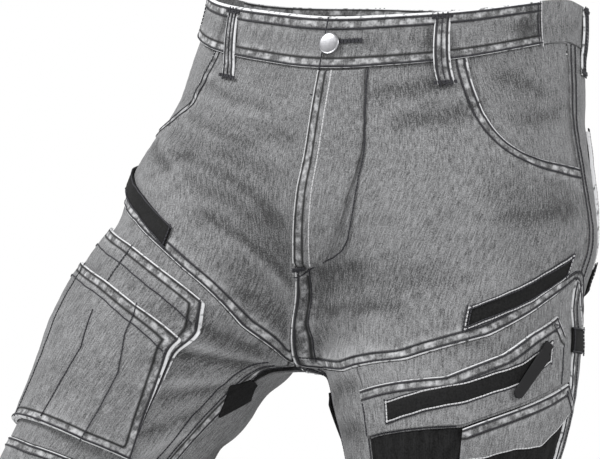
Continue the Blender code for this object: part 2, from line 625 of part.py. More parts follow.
def pull_place():
    """The pull's pivot over the slider, its hinge axis (across), and its own run and outward."""
    here, across, run, outward = slider_place()
    half = PULL_SIZE[2] / 2
    pivot = here - PIVOT_BACK * run + (SLIDER_SIZE[2] + PULL_CLEAR + half) * outward
    tip = skin(LEFT, *PULL_END, zip_panel_out() + PULL_TIP_CLEAR + half)
    run = tip - pivot
    run -= across * (run @ across)
    run /= np.linalg.norm(run)
    return pivot, across, run, np.cross(across, run)


def make_zip_hardware():
    add_object("zip_slider", *bar(slider_place(), -SLIDER_SIZE[1], SLIDER_SIZE), "metal")
    pivot, across, run, outward = pull_place()
    base = pivot - PULL_SIZE[2] / 2 * outward
    add_object("zip_pull", *bar((base, across, run, outward), -BEHIND_PIVOT, PULL_SIZE, 0.8), "moulded")


def make_side_tab():
    patch_band("side_tab_left", LEFT, SIDE_TAB_LINE, SIDE_TAB_HALF, 4, TAB_WALL)


def make_finishes():
    for name, finish in FINISHES.items():
        material = bpy.data.materials.new(name)
        material.use_nodes = True
        shader = material.node_tree.nodes["Principled BSDF"]
        shader.inputs["Base Color"].default_value = (*finish.colour, 1)
        shader.inputs["Roughness"].default_value = finish.roughness
        shader.inputs["Metallic"].default_value = finish.metallic
        material.diffuse_color = (*finish.colour, 1)


def main():
    for obj in list(bpy.data.objects):
        bpy.data.objects.remove(obj)
    make_finishes()
    make_waist()
    make_belt_loops()
    make_hips()
    make_fly()
    make_legs()
    make_gussets()
    make_left_pockets()
    make_right_pocket()
    make_button()
    make_zip_hardware()
    make_side_tab()


main()
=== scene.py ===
"""Looks of a pair of washed grey stretch-denim work trousers, filled out in a wide stance.

A place on the cloth is a side, a turn u round that side (0 centre front or inseam, 1 side
seam, 2 centre back or inseam) and a depth s below the waist in metres, as on trousers that
hang straight. Each cloth piece is a thin shell made there, creased, and then posed.
"""

from __future__ import annotations

import logging
from collections.abc import Callable, Sequence
from dataclasses import dataclass, field
from enum import Enum

import bpy
import numpy as np
from mathutils import Matrix, Vector

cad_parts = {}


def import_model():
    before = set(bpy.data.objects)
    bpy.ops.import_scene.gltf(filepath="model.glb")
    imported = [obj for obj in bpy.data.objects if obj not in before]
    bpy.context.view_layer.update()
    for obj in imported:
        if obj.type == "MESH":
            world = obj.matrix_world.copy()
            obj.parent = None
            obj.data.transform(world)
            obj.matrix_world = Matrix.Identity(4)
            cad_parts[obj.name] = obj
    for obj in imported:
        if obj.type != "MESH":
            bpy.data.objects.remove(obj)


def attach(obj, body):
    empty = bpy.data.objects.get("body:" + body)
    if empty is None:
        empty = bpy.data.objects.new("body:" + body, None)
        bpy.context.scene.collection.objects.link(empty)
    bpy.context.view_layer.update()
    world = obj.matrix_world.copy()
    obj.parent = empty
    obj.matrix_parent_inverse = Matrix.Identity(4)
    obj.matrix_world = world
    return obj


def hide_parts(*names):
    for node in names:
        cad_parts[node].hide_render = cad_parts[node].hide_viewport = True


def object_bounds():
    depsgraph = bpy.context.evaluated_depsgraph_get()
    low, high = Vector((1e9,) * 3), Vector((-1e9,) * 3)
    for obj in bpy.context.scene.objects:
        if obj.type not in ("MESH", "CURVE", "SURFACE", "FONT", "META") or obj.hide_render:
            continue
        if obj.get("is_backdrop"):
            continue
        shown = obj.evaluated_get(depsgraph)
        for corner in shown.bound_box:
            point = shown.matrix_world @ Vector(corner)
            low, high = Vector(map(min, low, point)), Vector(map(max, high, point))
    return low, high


log = logging.getLogger("work_trousers")
Array = np.ndarray
Edge = Callable[[Array], Array]
Line = tuple[tuple[float, float], ...]


class Side(Enum):
    """A side of the wearer, as the sign of x."""

    LEFT = 1
    RIGHT = -1

    @property
    def word(self) -> str:
        return self.name.lower()


class Cloth(Enum):
    """Finishes of the pieces, named as the record's material slots."""

    DENIM = "denim"
    STRETCH = "stretch"
    WEBBING = "webbing"
    METAL = "metal"
    MOULDED = "moulded"
    THREAD = "thread"
    PALE_THREAD = "pale_thread"


# Cut of the trousers


@dataclass(frozen=True)
class HipSection:
    """Oval of the hips at a depth, in metres."""

    depth: float
    half_width: float
    front: float
    back: float


@dataclass(frozen=True)
class LegSection:
    """Oval of a leg at a depth, in metres."""

    depth: float
    centre_x: float
    centre_y: float
    half_width: float
    front: float
    back: float


@dataclass(frozen=True)
class LegPose:
    """How a leg stands, in degrees."""

    out: float
    forward: float
    twist: float
    knee: float


@dataclass(frozen=True)
class Fold:
    """A soft trough (height below zero) or ridge from one place to another, in metres."""

    side: Side
    u0: float
    s0: float
    u1: float
    s1: float
    width: float
    height: float


@dataclass(frozen=True)
class WashPatch:
    """A paler (tone above zero) or darker patch, and how far it reaches; the table holds both patches of the
    wash and painted shade.
    """

    side: Side
    u: float
    s: float
    reach_u: float
    reach_s: float
    tone: float


HIPS = (
    HipSection(0.000, 0.148, 0.107, 0.114),
    HipSection(0.045, 0.156, 0.110, 0.119),
    HipSection(0.110, 0.182, 0.112, 0.132),
    HipSection(0.190, 0.221, 0.107, 0.142),
    HipSection(0.260, 0.237, 0.098, 0.132),
    HipSection(0.330, 0.230, 0.089, 0.118),
)
LEGS = (
    LegSection(0.100, 0.096, 0.005, 0.092, 0.089, 0.105),
    LegSection(0.150, 0.096, 0.005, 0.101, 0.096, 0.113),
    LegSection(0.220, 0.100, 0.008, 0.108, 0.100, 0.117),
    LegSection(0.280, 0.112, 0.008, 0.116, 0.100, 0.109),
    LegSection(0.340, 0.124, 0.008, 0.113, 0.096, 0.100),
    LegSection(0.450, 0.146, 0.006, 0.084, 0.088, 0.089),
    LegSection(0.600, 0.176, 0.000, 0.067, 0.077, 0.074),
    LegSection(0.750, 0.206, 0.008, 0.061, 0.069, 0.071),
    LegSection(0.900, 0.236, 0.012, 0.058, 0.064, 0.067),
    LegSection(1.050, 0.266, 0.012, 0.056, 0.062, 0.064),
)
STANCE = {Side.LEFT: LegPose(-1.2, 5.4, 5.9, 5.0), Side.RIGHT: LegPose(7.0, 14.2, 11.2, 24.0)}
WAISTBAND = 0.038
CROTCH, CROTCH_Y = 0.347, 0.010
KNEE_SEAM, HEM = 0.620, 1.045
CLOTH, BAND_CLOTH = 0.0015, 0.0024
SEAM_GAP = 0.00024
GIRTH = 0.25
SEAM_CALM = 0.12
SCOOP_START, SCOOP_DEPTH = 0.59, 0.108
INNER_EDGE = 0.36
ELASTIC = (0.87, 1.13)
YOKE = {
    Side.LEFT: ((0.0, CROTCH), (0.30, 0.356), (0.50, 0.342), (0.70, 0.308), (0.85, 0.268), (1.0, 0.236)),
    Side.RIGHT: ((0.0, CROTCH), (0.20, 0.330), (0.40, 0.298), (0.60, 0.260), (0.80, 0.231), (1.0, 0.212)),
}
STRETCH_TOP: Line = ((0.0, 0.430), (0.36, 0.412), (0.65, 0.390), (0.80, 0.362), (1.0, 0.325))
KNEE_TOP: Line = ((0.0, 0.492), (0.50, 0.488), (1.0, 0.472))
ZIP_PANEL_TOP: Line = ((0.35, 0.372), (0.60, 0.350), (0.74, 0.320), (0.81, 0.297), (0.90, 0.275),
                       (0.94, 0.290))
ZIP_PANEL_LOW: Line = ((0.35, 0.411), (0.65, 0.388), (0.80, 0.359), (0.94, 0.331))
ZIP_LINE: Line = ((0.44, 0.388), (0.66, 0.359), (0.79, 0.334), (0.88, 0.308))
ZIP_HALF = 0.0075
FLAP_TOP: Line = ((0.65, 0.391), (0.80, 0.362), (0.97, 0.328), (1.03, 0.342))
FLAP_LOW: Line = ((0.65, 0.418), (0.72, 0.411), (0.81, 0.397), (0.90, 0.388), (1.03, 0.346))
STRIP_LINE = {
    Side.LEFT: ((0.64, 0.297), (0.78, 0.265), (0.93, 0.229)),
    Side.RIGHT: ((0.46, 0.272), (0.60, 0.240), (0.80, 0.205), (1.02, 0.188)),
}
STRIP_HALF = {Side.LEFT: 0.009, Side.RIGHT: 0.0115}
BACK_STRIP_LINE: Line = ((1.14, 0.226), (1.25, 0.230))
SIDE_TAB_LINE: Line = ((0.985, 0.290), (1.085, 0.286))
CARGO_TOP: Line = ((0.31, 0.322), (0.44, 0.304), (0.56, 0.286), (0.76, 0.262), (1.14, 0.258))
CARGO_SECOND: Line = ((0.29, 0.360), (0.44, 0.344), (0.56, 0.328), (0.76, 0.306), (1.14, 0.302))
CARGO_LOW: Line = ((0.15, 0.471), (0.32, 0.472), (0.63, 0.466), (1.14, 0.462))
FLY_WIDTH, FLY_END, FLY_CORNER, FLY_CORNER_RISE = 0.24, 0.262, 0.05, 0.045
GUSSET_DROP, GUSSET_LENGTH, GUSSET_TURN = 0.016, 0.042, 0.055
BACK_POCKET = ((1.27, 1.73), 0.108, 0.262, 0.016)
# Gap between each patch and the panels under it
LIFT = {
    "back_pocket": 0.0024,
    "cargo_pocket": 0.0022,
    "crotch_gusset_left": 0.0043,
    "crotch_gusset_right": 0.0010,
    "hip_strip_front_left": 0.0007,
    "hip_strip_front_right": 0.0013,
    "hip_strip_back_left": 0.0010,
    "side_tab_left": 0.0006,
    "thigh_pocket_flap": 0.0007,
    "zip_pocket_panel": 0.0007,
    "zip_tape": 0.0006,
}
FLY_STITCH: Line = (
    (0.240, 0.039), (0.236, 0.068), (0.232, 0.116), (0.242, 0.180), (0.262, 0.224), (0.266, 0.236),
    (0.258, 0.246),
    (0.235, 0.253), (0.113, 0.268), (0.012, 0.276),
)
BUTTON_AT = (0.075, 0.019)

L, R = Side.LEFT, Side.RIGHT
# The folds of the cut's solids, and after them the small ones of the cloth only.
FOLDS = (
    Fold(R, 0.66, 0.098, 0.06, 0.150, 0.013, -0.0035), Fold(R, 0.62, 0.140, 0.12, 0.200, 0.014, -0.0045),
    Fold(R, 0.46, 0.205, 0.04, 0.262, 0.013, -0.0040), Fold(R, 0.32, 0.282, 0.04, 0.318, 0.012, -0.0040),
    Fold(R, 0.40, 0.346, 0.08, 0.350, 0.012, -0.0035), Fold(R, 0.30, 0.392, 0.04, 0.362, 0.012, -0.0035),
    Fold(R, 0.22, 0.440, 0.02, 0.385, 0.012, -0.0030), Fold(L, 0.08, 0.288, 0.62, 0.268, 0.016, -0.0050),
    Fold(L, 0.10, 0.330, 0.36, 0.318, 0.012, -0.0030), Fold(L, 0.60, 0.185, 0.98, 0.160, 0.014, -0.0030),
    Fold(R, 1.95, 0.330, 1.30, 0.255, 0.018, -0.0060), Fold(R, 1.90, 0.375, 1.35, 0.330, 0.016, -0.0045),
    Fold(L, 1.95, 0.335, 1.40, 0.290, 0.018, -0.0055), Fold(L, 1.92, 0.380, 1.45, 0.350, 0.015, -0.0040),
    Fold(L, 1.20, 0.610, 1.85, 0.600, 0.014, -0.0045), Fold(L, 1.25, 0.665, 1.80, 0.670, 0.014, -0.0040),
    Fold(R, 1.15, 0.590, 1.88, 0.585, 0.016, -0.0065), Fold(R, 1.20, 0.640, 1.85, 0.650, 0.016, -0.0060),
    Fold(L, 0.20, 0.975, 1.30, 0.965, 0.014, 0.0050), Fold(L, 0.30, 1.010, 1.70, 1.015, 0.013, -0.0045),
    Fold(R, 0.10, 0.960, 1.00, 0.972, 0.014, 0.0050), Fold(R, 0.40, 1.008, 1.60, 1.012, 0.013, -0.0045),
)
SMALL_FOLDS = (
    # drag lines from the right hip to the crotch
    Fold(R, 0.60, 0.074, 0.20, 0.098, 0.008, -0.0012), Fold(R, 0.58, 0.116, 0.22, 0.158, 0.007, -0.0016),
    Fold(R, 0.52, 0.172, 0.10, 0.232, 0.008, -0.0022), Fold(R, 0.44, 0.188, 0.20, 0.222, 0.005, 0.0012),
    Fold(R, 0.40, 0.236, 0.06, 0.284, 0.007, -0.0020), Fold(R, 0.30, 0.256, 0.10, 0.290, 0.005, 0.0012),
    Fold(R, 0.26, 0.300, 0.03, 0.330, 0.006, -0.0018), Fold(R, 0.72, 0.160, 0.50, 0.200, 0.008, -0.0016),
    # fan on the right thigh beside the inseam
    Fold(R, 0.31, 0.346, 0.10, 0.345, 0.0045, -0.0016), Fold(R, 0.29, 0.362, 0.07, 0.352, 0.0045, 0.0013),
    Fold(R, 0.27, 0.376, 0.06, 0.358, 0.0045, -0.0018), Fold(R, 0.25, 0.404, 0.05, 0.372, 0.0050, 0.0013),
    Fold(R, 0.22, 0.420, 0.04, 0.378, 0.0050, -0.0018),
    Fold(R, 0.18, 0.452, 0.03, 0.402, 0.0055, -0.0018),
    Fold(R, 0.14, 0.470, 0.03, 0.424, 0.0055, 0.0013),
    # soft troughs across the left hip and thigh
    Fold(L, 0.24, 0.072, 0.52, 0.060, 0.009, -0.0016), Fold(L, 0.30, 0.110, 0.60, 0.092, 0.012, -0.0018),
    Fold(L, 0.66, 0.060, 0.86, 0.082, 0.008, -0.0012), Fold(L, 0.70, 0.112, 0.94, 0.096, 0.008, -0.0012),
    Fold(L, 0.06, 0.270, 0.34, 0.262, 0.007, -0.0014), Fold(L, 0.14, 0.305, 0.50, 0.296, 0.008, -0.0018),
    Fold(L, 0.64, 0.205, 0.98, 0.178, 0.009, -0.0018), Fold(L, 0.44, 0.336, 0.20, 0.344, 0.006, 0.0012),
    Fold(L, 0.12, 0.380, 0.34, 0.366, 0.008, -0.0016), Fold(L, 0.10, 0.412, 0.33, 0.404, 0.009, -0.0016),
    Fold(L, 0.08, 0.455, 0.34, 0.440, 0.010, -0.0020), Fold(L, 0.10, 0.520, 0.60, 0.505, 0.010, -0.0022),
    # knees, shins and hems
    Fold(L, 0.15, 0.575, 0.80, 0.590, 0.010, -0.0022), Fold(L, 0.25, 0.640, 0.90, 0.630, 0.010, -0.0024),
    Fold(L, 0.10, 0.700, 0.70, 0.730, 0.012, -0.0020), Fold(L, 0.30, 0.820, 0.95, 0.790, 0.013, -0.0018),
    Fold(L, 0.05, 0.905, 0.85, 0.930, 0.010, -0.0022), Fold(L, 0.45, 0.952, 1.20, 0.940, 0.009, -0.0024),
    Fold(R, 0.20, 0.560, 0.85, 0.545, 0.010, -0.0024), Fold(R, 0.30, 0.600, 0.95, 0.620, 0.009, -0.0022),
    Fold(R, 0.15, 0.690, 0.80, 0.670, 0.012, -0.0022), Fold(R, 0.35, 0.790, 0.90, 0.820, 0.013, -0.0018),
    Fold(R, 0.10, 0.900, 0.90, 0.885, 0.010, -0.0022), Fold(R, 0.50, 0.945, 1.25, 0.950, 0.009, -0.0024),
    # seat and backs of the knees
    Fold(L, 1.30, 0.150, 1.80, 0.135, 0.013, -0.0016), Fold(R, 1.25, 0.135, 1.75, 0.155, 0.013, -0.0016),
    Fold(L, 1.88, 0.270, 1.45, 0.245, 0.012, -0.0024), Fold(R, 1.86, 0.282, 1.42, 0.222, 0.012, -0.0026),
    Fold(L, 1.90, 0.420, 1.50, 0.400, 0.012, -0.0024), Fold(R, 1.88, 0.430, 1.46, 0.392, 0.012, -0.0026),
    Fold(L, 1.30, 0.560, 1.80, 0.575, 0.009, -0.0026), Fold(R, 1.25, 0.548, 1.82, 0.560, 0.010, -0.0034),
    Fold(L, 1.28, 0.636, 1.82, 0.640, 0.008, 0.0024), Fold(R, 1.22, 0.614, 1.85, 0.620, 0.008, 0.0030),
    Fold(L, 1.20, 0.730, 1.75, 0.705, 0.012, -0.0024), Fold(R, 1.25, 0.700, 1.78, 0.725, 0.012, -0.0028),
    Fold(L, 1.15, 0.900, 1.70, 0.925, 0.011, -0.0024), Fold(R, 1.20, 0.905, 1.72, 0.880, 0.011, -0.0024),
)


# Paler and darker patches; the second and third are painted shade beside the front belt loops.
WASH_AND_SHADE = (
    WashPatch(L, 0.82, 0.018, 0.045, 0.020, -0.42), WashPatch(L, 0.452, 0.022, 0.020, 0.022, -0.40),
    WashPatch(R, 0.585, 0.022, 0.020, 0.022, -0.35), WashPatch(L, 0.66, 0.358, 0.28, 0.026, 0.16),
    WashPatch(L, 0.78, 0.090, 0.15, 0.035, -0.06), WashPatch(L, 0.30, 0.200, 0.15, 0.050, 0.05),
    WashPatch(R, 0.40, 0.110, 0.25, 0.035, 0.10), WashPatch(R, 0.12, 0.410, 0.16, 0.050, 0.16),
    WashPatch(L, 0.22, 0.460, 0.12, 0.050, -0.12), WashPatch(L, 0.50, 0.760, 0.40, 0.090, 0.12),
    WashPatch(R, 0.50, 0.740, 0.40, 0.090, 0.12), WashPatch(L, 1.50, 0.200, 0.30, 0.070, 0.08),
    WashPatch(R, 1.50, 0.200, 0.30, 0.070, 0.08), WashPatch(L, 0.30, 0.023, 0.80, 0.009, -0.10),
)


def smooth(t: Array | float) -> Array:
    """Smooth step from 0 to 1."""
    t = np.clip(t, 0, 1)
    return t * t * (3 - 2 * t)


def bump(d: Array, centre: float, width: float) -> Array:
    """A soft bell of height 1."""
    return np.exp(-(((d - centre) / width) ** 2))


def edge(points: Line) -> Edge:
    """A seam's depth at any turn, straight between its points."""
    turns, depths = zip(*points)
    return lambda u: np.interp(u, turns, depths)


def both_ways(points: Line) -> Edge:
    """A seam that runs the same behind as in front."""
    front = edge(points)
    return lambda u: front(np.minimum(u, 2 - u))


def level(depth: float) -> Edge:
    """A straight edge at one depth."""
    return lambda u: np.full(np.shape(u), depth)


def scoop(u: Array) -> Array:
    """Edge of the front pocket opening."""
    away = np.clip((1 - u) / (1 - SCOOP_START), 0, 1)
    return WAISTBAND + SCOOP_DEPTH * (1 - away**4) ** 0.25


def scoop_turns(count: int) -> Array:
    """Turns along the pocket edge, closest together where it is steep."""
    return 1 - (1 - SCOOP_START) * np.sqrt(np.cos(np.linspace(0, 1, count) ** 2 * np.pi / 2))


def fly_end(u: Array) -> Array:
    """Low edge of the fly, rounded up at its far corner."""
    return FLY_END - FLY_CORNER_RISE * np.clip((u - FLY_WIDTH + FLY_CORNER) / FLY_CORNER, 0, 1) ** 2


def pocket_point(u: Array) -> Array:
    """Low edge of a back pocket, deepest at its middle."""
    (start, end), _, low, point = BACK_POCKET
    return low + point * (1 - abs(2 * (u - start) / (end - start) - 1))


def girth(s: Array | float) -> Array:
    """Metres of cloth per turn at a depth."""
    return np.interp(s, (0, 0.15, 0.3, 0.45, 0.62, 1.05), (0.205, 0.26, 0.27, 0.265, 0.215, 0.185))


def waves(x: Array, y: Array, length: float, seed: int) -> Array:
    """Soft uneven waves from -1 to 1 of about this length."""
    rng = np.random.default_rng(seed)
    total = np.zeros(np.shape(x))
    for angle, phase, stretch in zip(rng.random(7) * np.pi, rng.random(7) * 6.3,
                                     rng.uniform(0.7, 1.5, 7)):
        k = 2 * np.pi * stretch / length
        total += np.sin(k * (np.cos(angle) * x + np.sin(angle) * y) + phase)
    return total / 4


class TrouserForm:
    """The filled-out trousers: places on the cloth, its creases and the stance."""

    hip_joint = np.array([0.095, 0.0, -0.130])
    knee_joint = np.array([0.178, 0.010, -0.620])
    hip_bend, knee_span = (0.05, 0.38), 0.12
    twist_start, twist_span = 0.16, 0.34
    seam_blend, seam_narrows = 0.06, (0.258, 0.11)
    bowl_start, bowl_depth, rise_start = 0.190, 0.094, 0.100
    leg_join, seat_join = 0.045, 0.035
    lean, pitch = 7.6, -4.1
    front_dip, back_rise, dip_fade = 0.061, 0.015, 0.22
    front_lift, waist_tilt, waist_draw, band_fade, draw_fade = 0.0140, 0.030, 0.045, 0.042, 0.085
    turns, depths = 201, 321

    def __init__(self) -> None:
        """Finds the straight-hanging cloth once, on a grid of turns and depths."""
        self._low = HEM + 0.005
        u, s = np.meshgrid(np.linspace(0, 2, self.turns), np.linspace(0, self._low, self.depths),
                           indexing="ij")
        self._points = self._settle(self._rough_place(u, s))
        slope = self._uphill(self._points)
        self._normals = slope / np.linalg.norm(slope, axis=-1, keepdims=True)

    @staticmethod
    def _along(rows: Sequence[object], name: str, depth: Array) -> Array:
        """A section's measure at any depth, on a smooth curve through the rows."""
        x = np.array([row.depth for row in rows])
        y = np.array([getattr(row, name) for row in rows])
        slopes = np.gradient(y, x)
        depth = np.clip(depth, x[0], x[-1])
        i = np.clip(np.searchsorted(x, depth) - 1, 0, len(x) - 2)
        step = x[i + 1] - x[i]
        t = (depth - x[i]) / step
        ends = (2 * t**3 - 3 * t**2 + 1) * y[i] + (3 * t**2 - 2 * t**3) * y[i + 1]
        bends = (t**3 - 2 * t**2 + t) * slopes[i] + (t**3 - t**2) * slopes[i + 1]
        return ends + step * bends

    @staticmethod
    def _join(a: Array, b: Array, reach: float) -> Array:
        h = np.maximum(reach - np.abs(a - b), 0) / reach
        return np.minimum(a, b) - h * h * reach / 4

    def _form(self, p: Array) -> Array:
        """Below zero inside the filled-out trousers, zero on the cloth."""
        x, y, depth = p[..., 0], p[..., 1], -p[..., 2]
        width, front, back = (self._along(HIPS, c, depth) for c in ("half_width", "front", "back"))
        bowl = np.maximum(0, depth - self.bowl_start) / self.bowl_depth
        seat = np.sqrt((x / width) ** 2 + (y / np.where(y < 0, front, back)) ** 2 + bowl**2 + 1e-12)
        names = ("centre_x", "centre_y", "half_width", "front", "back")
        cx, cy, width, front, back = (self._along(LEGS, c, depth) for c in names)
        deep = (y - cy) / np.where(y < cy, front, back)
        left, right = (np.sqrt(((x - side.value * cx) / width) ** 2 + deep**2 + 1e-12) for side in Side)
        legs = self._join((left - 1) * 0.09, (right - 1) * 0.09, self.leg_join)
        return self._join((seat - 1) * 0.12, legs, self.seat_join)

    def _uphill(self, p: Array) -> Array:
        e = 1e-4
        return np.stack([(self._form(p + d) - self._form(p - d)) / (2 * e) for d in np.eye(3) * e], -1)

    def _settle(self, p: Array, rounds: int = 9) -> Array:
        """Moves points onto the cloth, straight along its slope."""
        for _ in range(rounds):
            g = self._uphill(p)
            step = (self._form(p) / np.maximum((g * g).sum(-1), 1e-3))[..., None] * g
            size = np.linalg.norm(step, axis=-1, keepdims=True)
            p = p - step * np.minimum(1, 0.02 / np.maximum(size, 1e-9))
        return p

    def _centre_seam(self, depth: Array, towards: int) -> Array:
        inside = np.full(np.shape(depth), CROTCH_Y)
        outside = inside + towards * 0.2
        for _ in range(22):
            y = (inside + outside) / 2
            full = self._form(np.stack([0 * y, y, -depth], -1)) < 0
            inside, outside = np.where(full, y, inside), np.where(full, outside, y)
        return (inside + outside) / 2

    def _rough_place(self, u: Array, s: Array) -> Array:
        """A point near the cloth: hip sections above, leg sections below, centre seams between."""
        width, front, back = (self._along(HIPS, c, s) for c in ("half_width", "front", "back"))
        c, n = np.cos(np.pi / 2 * u), np.sin(np.pi / 2 * u)
        hip = np.stack([width * n, np.where(u < 1, -front * c, -back * c), -s], -1)
        names = ("centre_x", "centre_y", "half_width", "front", "back")
        cx, cy, width, front, back = (self._along(LEGS, c, s) for c in names)
        c, n = np.cos(np.pi * u), np.sin(np.pi * u)
        leg = np.stack([cx - width * c, cy - np.where(u < 1, front, back) * n, -s], -1)
        low = smooth((s - self.rise_start) / (CROTCH - self.rise_start))[..., None]
        column = np.minimum(s[0], CROTCH)
        seam_y = np.where(u < 1, self._centre_seam(column, -1), self._centre_seam(column, 1))
        seam = np.stack([0 * s, seam_y, -s], -1)
        near = np.minimum(1, np.abs(u - 1)) ** 6 * (1 - smooth((s - CROTCH) / 0.03))
        return (hip * (1 - low) + leg * low) * (1 - near[..., None]) + seam * near[..., None]

    def _look_up(self, table: Array, u: Array, s: Array) -> Array:
        """The table's value at any turn and depth, straight between its points."""
        i = np.clip(u / 2 * (self.turns - 1), 0, self.turns - 1.000001)
        j = np.clip(s / self._low * (self.depths - 1), 0, self.depths - 1.000001)
        a, b = i.astype(int), j.astype(int)
        x, y = (i - a)[..., None], (j - b)[..., None]
        top = table[a, b] * (1 - x) + table[a + 1, b] * x
        return top * (1 - y) + (table[a, b + 1] * (1 - x) + table[a + 1, b + 1] * x) * y

    def from_centre(self, u: Array, s: Array) -> Array:
        """Distance of the straight-hanging cloth from the centre seam, in metres."""
        return np.maximum(self._look_up(self._points, np.clip(u, 0, 2), np.clip(s, 0, self._low))[..., 0],
                          0)

    def centre_line(self, away: float, top: float, low: float, back: bool = False) -> Array:
        """A line down the cloth at an even distance from the centre seam, as (turn, depth) points."""
        u = np.linspace(0, 0.4, 161)
        depths = np.linspace(top, low, max(3, int((low - top) / 0.006)))
        turns = [np.interp(away, self.from_centre(2 - u if back else u, np.full(u.shape, d)),
                           u) for d in depths]
        turns = np.array(turns)
        return np.stack([2 - turns if back else turns, depths], 1)

    @staticmethod
    def folds(sign: Array, u: Array, s: Array, rows: Sequence[Fold]) -> Array:
        """Height of these folds at a place on the cloth."""
        total = np.zeros(np.shape(u))
        for fold in rows:
            start = np.array([fold.u0 * GIRTH, fold.s0])
            run = np.array([fold.u1 * GIRTH, fold.s1]) - start
            here = np.stack([u * GIRTH, s], -1) - start
            t = (here @ run) / (run @ run)
            away = np.linalg.norm(here - np.clip(t, 0, 1)[..., None] * run, axis=-1)
            fade = smooth(4 * t + 0.4) * smooth(4 * (1 - t) + 0.4)
            total += np.where(sign == fold.side.value, fold.height * fade * bump(away, 0, fold.width), 0)
        return total

    def crease(self, sign: Array, u: Array, s: Array) -> Array:
        """Height of all creases and of the cloth's small unevenness."""
        calm = smooth(u / SEAM_CALM) * smooth((2 - u) / SEAM_CALM)
        x = u * GIRTH * sign
        uneven = 0.00035 * waves(x, s, 0.045, 3) + 0.00020 * waves(x, s, 0.017, 8)
        small = 1.5 * self.folds(sign, u, s, SMALL_FOLDS)
        return (self.folds(sign, u, s, FOLDS) + small + uneven * smooth((s - WAISTBAND) / 0.02)) * calm

    def shade(self, sign: Array, u: Array, s: Array) -> Array:
        """Painted highlight (above zero) on fold ridges and painted shade in fold troughs, partly also the
        wash's paler creases, plus the paler and darker patches of the table.
        """
        # Painted light: fold heights become a paler tone on ridges and a darker tone in troughs.
        main, small = (1000 * self.folds(sign, u, s, rows) for rows in (FOLDS, SMALL_FOLDS))
        share = 1 - 0.6 * smooth((s - 0.45) / 0.08)
        tone = np.clip(share * (0.040 * main + 0.17 * small), -0.34,
                       0.34) + 0.03 * waves(u * GIRTH * sign, s, 0.03, 12)
        for place in WASH_AND_SHADE:
            bell = bump(u, place.u, place.reach_u) * bump(s, place.s, place.reach_s)
            tone = tone + np.where(sign == place.side.value, place.tone * bell, 0)
        return tone

    @staticmethod
    def _spin(p: Array, centre: Array, degrees: tuple[float, float, float], share: Array) -> Array:
        turn = np.radians(np.asarray(degrees, float))
        angle = np.linalg.norm(turn)
        axis = turn / angle
        a = (angle * share)[..., None]
        q = p - centre
        along = axis * (q @ axis)[..., None]
        return centre + q * np.cos(a) + np.cross(axis, q) * np.sin(a) + along * (1 - np.cos(a))

    def pose(self, p: Array) -> Array:
        """Takes points from straight-hanging trousers to the wide stance."""
        x, y, s = p[..., 0], p[..., 1], -p[..., 2]
        half = self.seam_blend * (1 - 0.85 * smooth((s - self.seam_narrows[0]) / self.seam_narrows[1]))
        to_left = smooth((x / half + 1) / 2)
        out = p.copy()
        for side, leg in STANCE.items():
            sign = side.value
            bend = smooth((s - KNEE_SEAM + self.knee_span / 2) / self.knee_span)
            q = self._spin(p, self.knee_joint * (sign, 1, 1), (leg.knee, 0, 0), bend)
            twist = smooth((s - self.twist_start) / self.twist_span)
            q = self._spin(q, self.hip_joint * (sign, 0, 0), (0, 0, sign * leg.twist), twist)
            swing = smooth((s - self.hip_bend[0]) / (self.hip_bend[1] - self.hip_bend[0]))
            q = self._spin(q, self.hip_joint * (sign, 1, 1), (-leg.forward, -sign * leg.out, 0), swing)
            out += (q - p) * (to_left if sign > 0 else 1 - to_left)[..., None]
        dip = self.front_dip - self.front_lift * np.clip(1 - s / self.band_fade, 0, 1)
        drop = self.back_rise * np.maximum(0, y / 0.12) ** 2 - dip * np.maximum(0, -y / 0.117) ** 1.5
        out[..., 2] += (drop + self.waist_tilt * x) * (1 - smooth(s / self.dip_fade))
        out[..., 0] *= 1 - self.waist_draw * (1 - smooth(s / self.draw_fade))
        whole = np.ones(out.shape[:-1])
        out = self._spin(out, np.zeros(3), (0, self.lean, 0), whole)
        return self._spin(out, np.zeros(3), (self.pitch, 0, 0), whole)

    def skin(self, sign: Array | int, u: Array | float, s: Array | float,
             out: Array | float = 0.0) -> Array:
        """Points on the cloth, moved out along its normal, in the stance.

        Args:
            sign: 1 for the wearer's left, -1 for the right.
            u: turn round that side.
            s: depth below the waist in metres.
            out: distance from the nominal face in metres.

        Returns:
            Points in the row frame.
        """
        sign, u, s, out = np.broadcast_arrays(sign, np.asarray(u, float), np.asarray(s, float), out)
        u, s = np.clip(u, 0, 2), np.clip(s, 0, self._low)
        p = self._look_up(self._points, u, s)
        normal = self._look_up(self._normals, u, s)
        p = p + normal * (out + self.crease(sign, u, s))[..., None]
        p[..., 0] = np.maximum(p[..., 0], SEAM_GAP) * sign
        return self.pose(p)

    def frame_at(self, side: Side, u: float, s: float, out: float,
                 towards: tuple[float, float]) -> Matrix:
        """A matrix at a place on the cloth: x across, y towards another place, z outwards."""
        du, ds, sign = 0.004, 0.001, side.value
        here = self.skin(sign, u, s, out)
        round_it = self.skin(sign, u + du, s, out) - self.skin(sign, u - du, s, out)
        down = self.skin(sign, u, s + ds, out) - self.skin(sign, u, s - ds, out)
        outward = np.cross(round_it, down) * -sign
        outward /= np.linalg.norm(outward)
        run = self.skin(sign, *towards, out) - here
        run -= outward * (run @ outward)
        run /= np.linalg.norm(run)
        return Matrix([[*row, t] for row, t in zip(np.stack([np.cross(run, outward), run, outward], 1),
                                                   here)] + [[0, 0, 0, 1]])


# Shaders


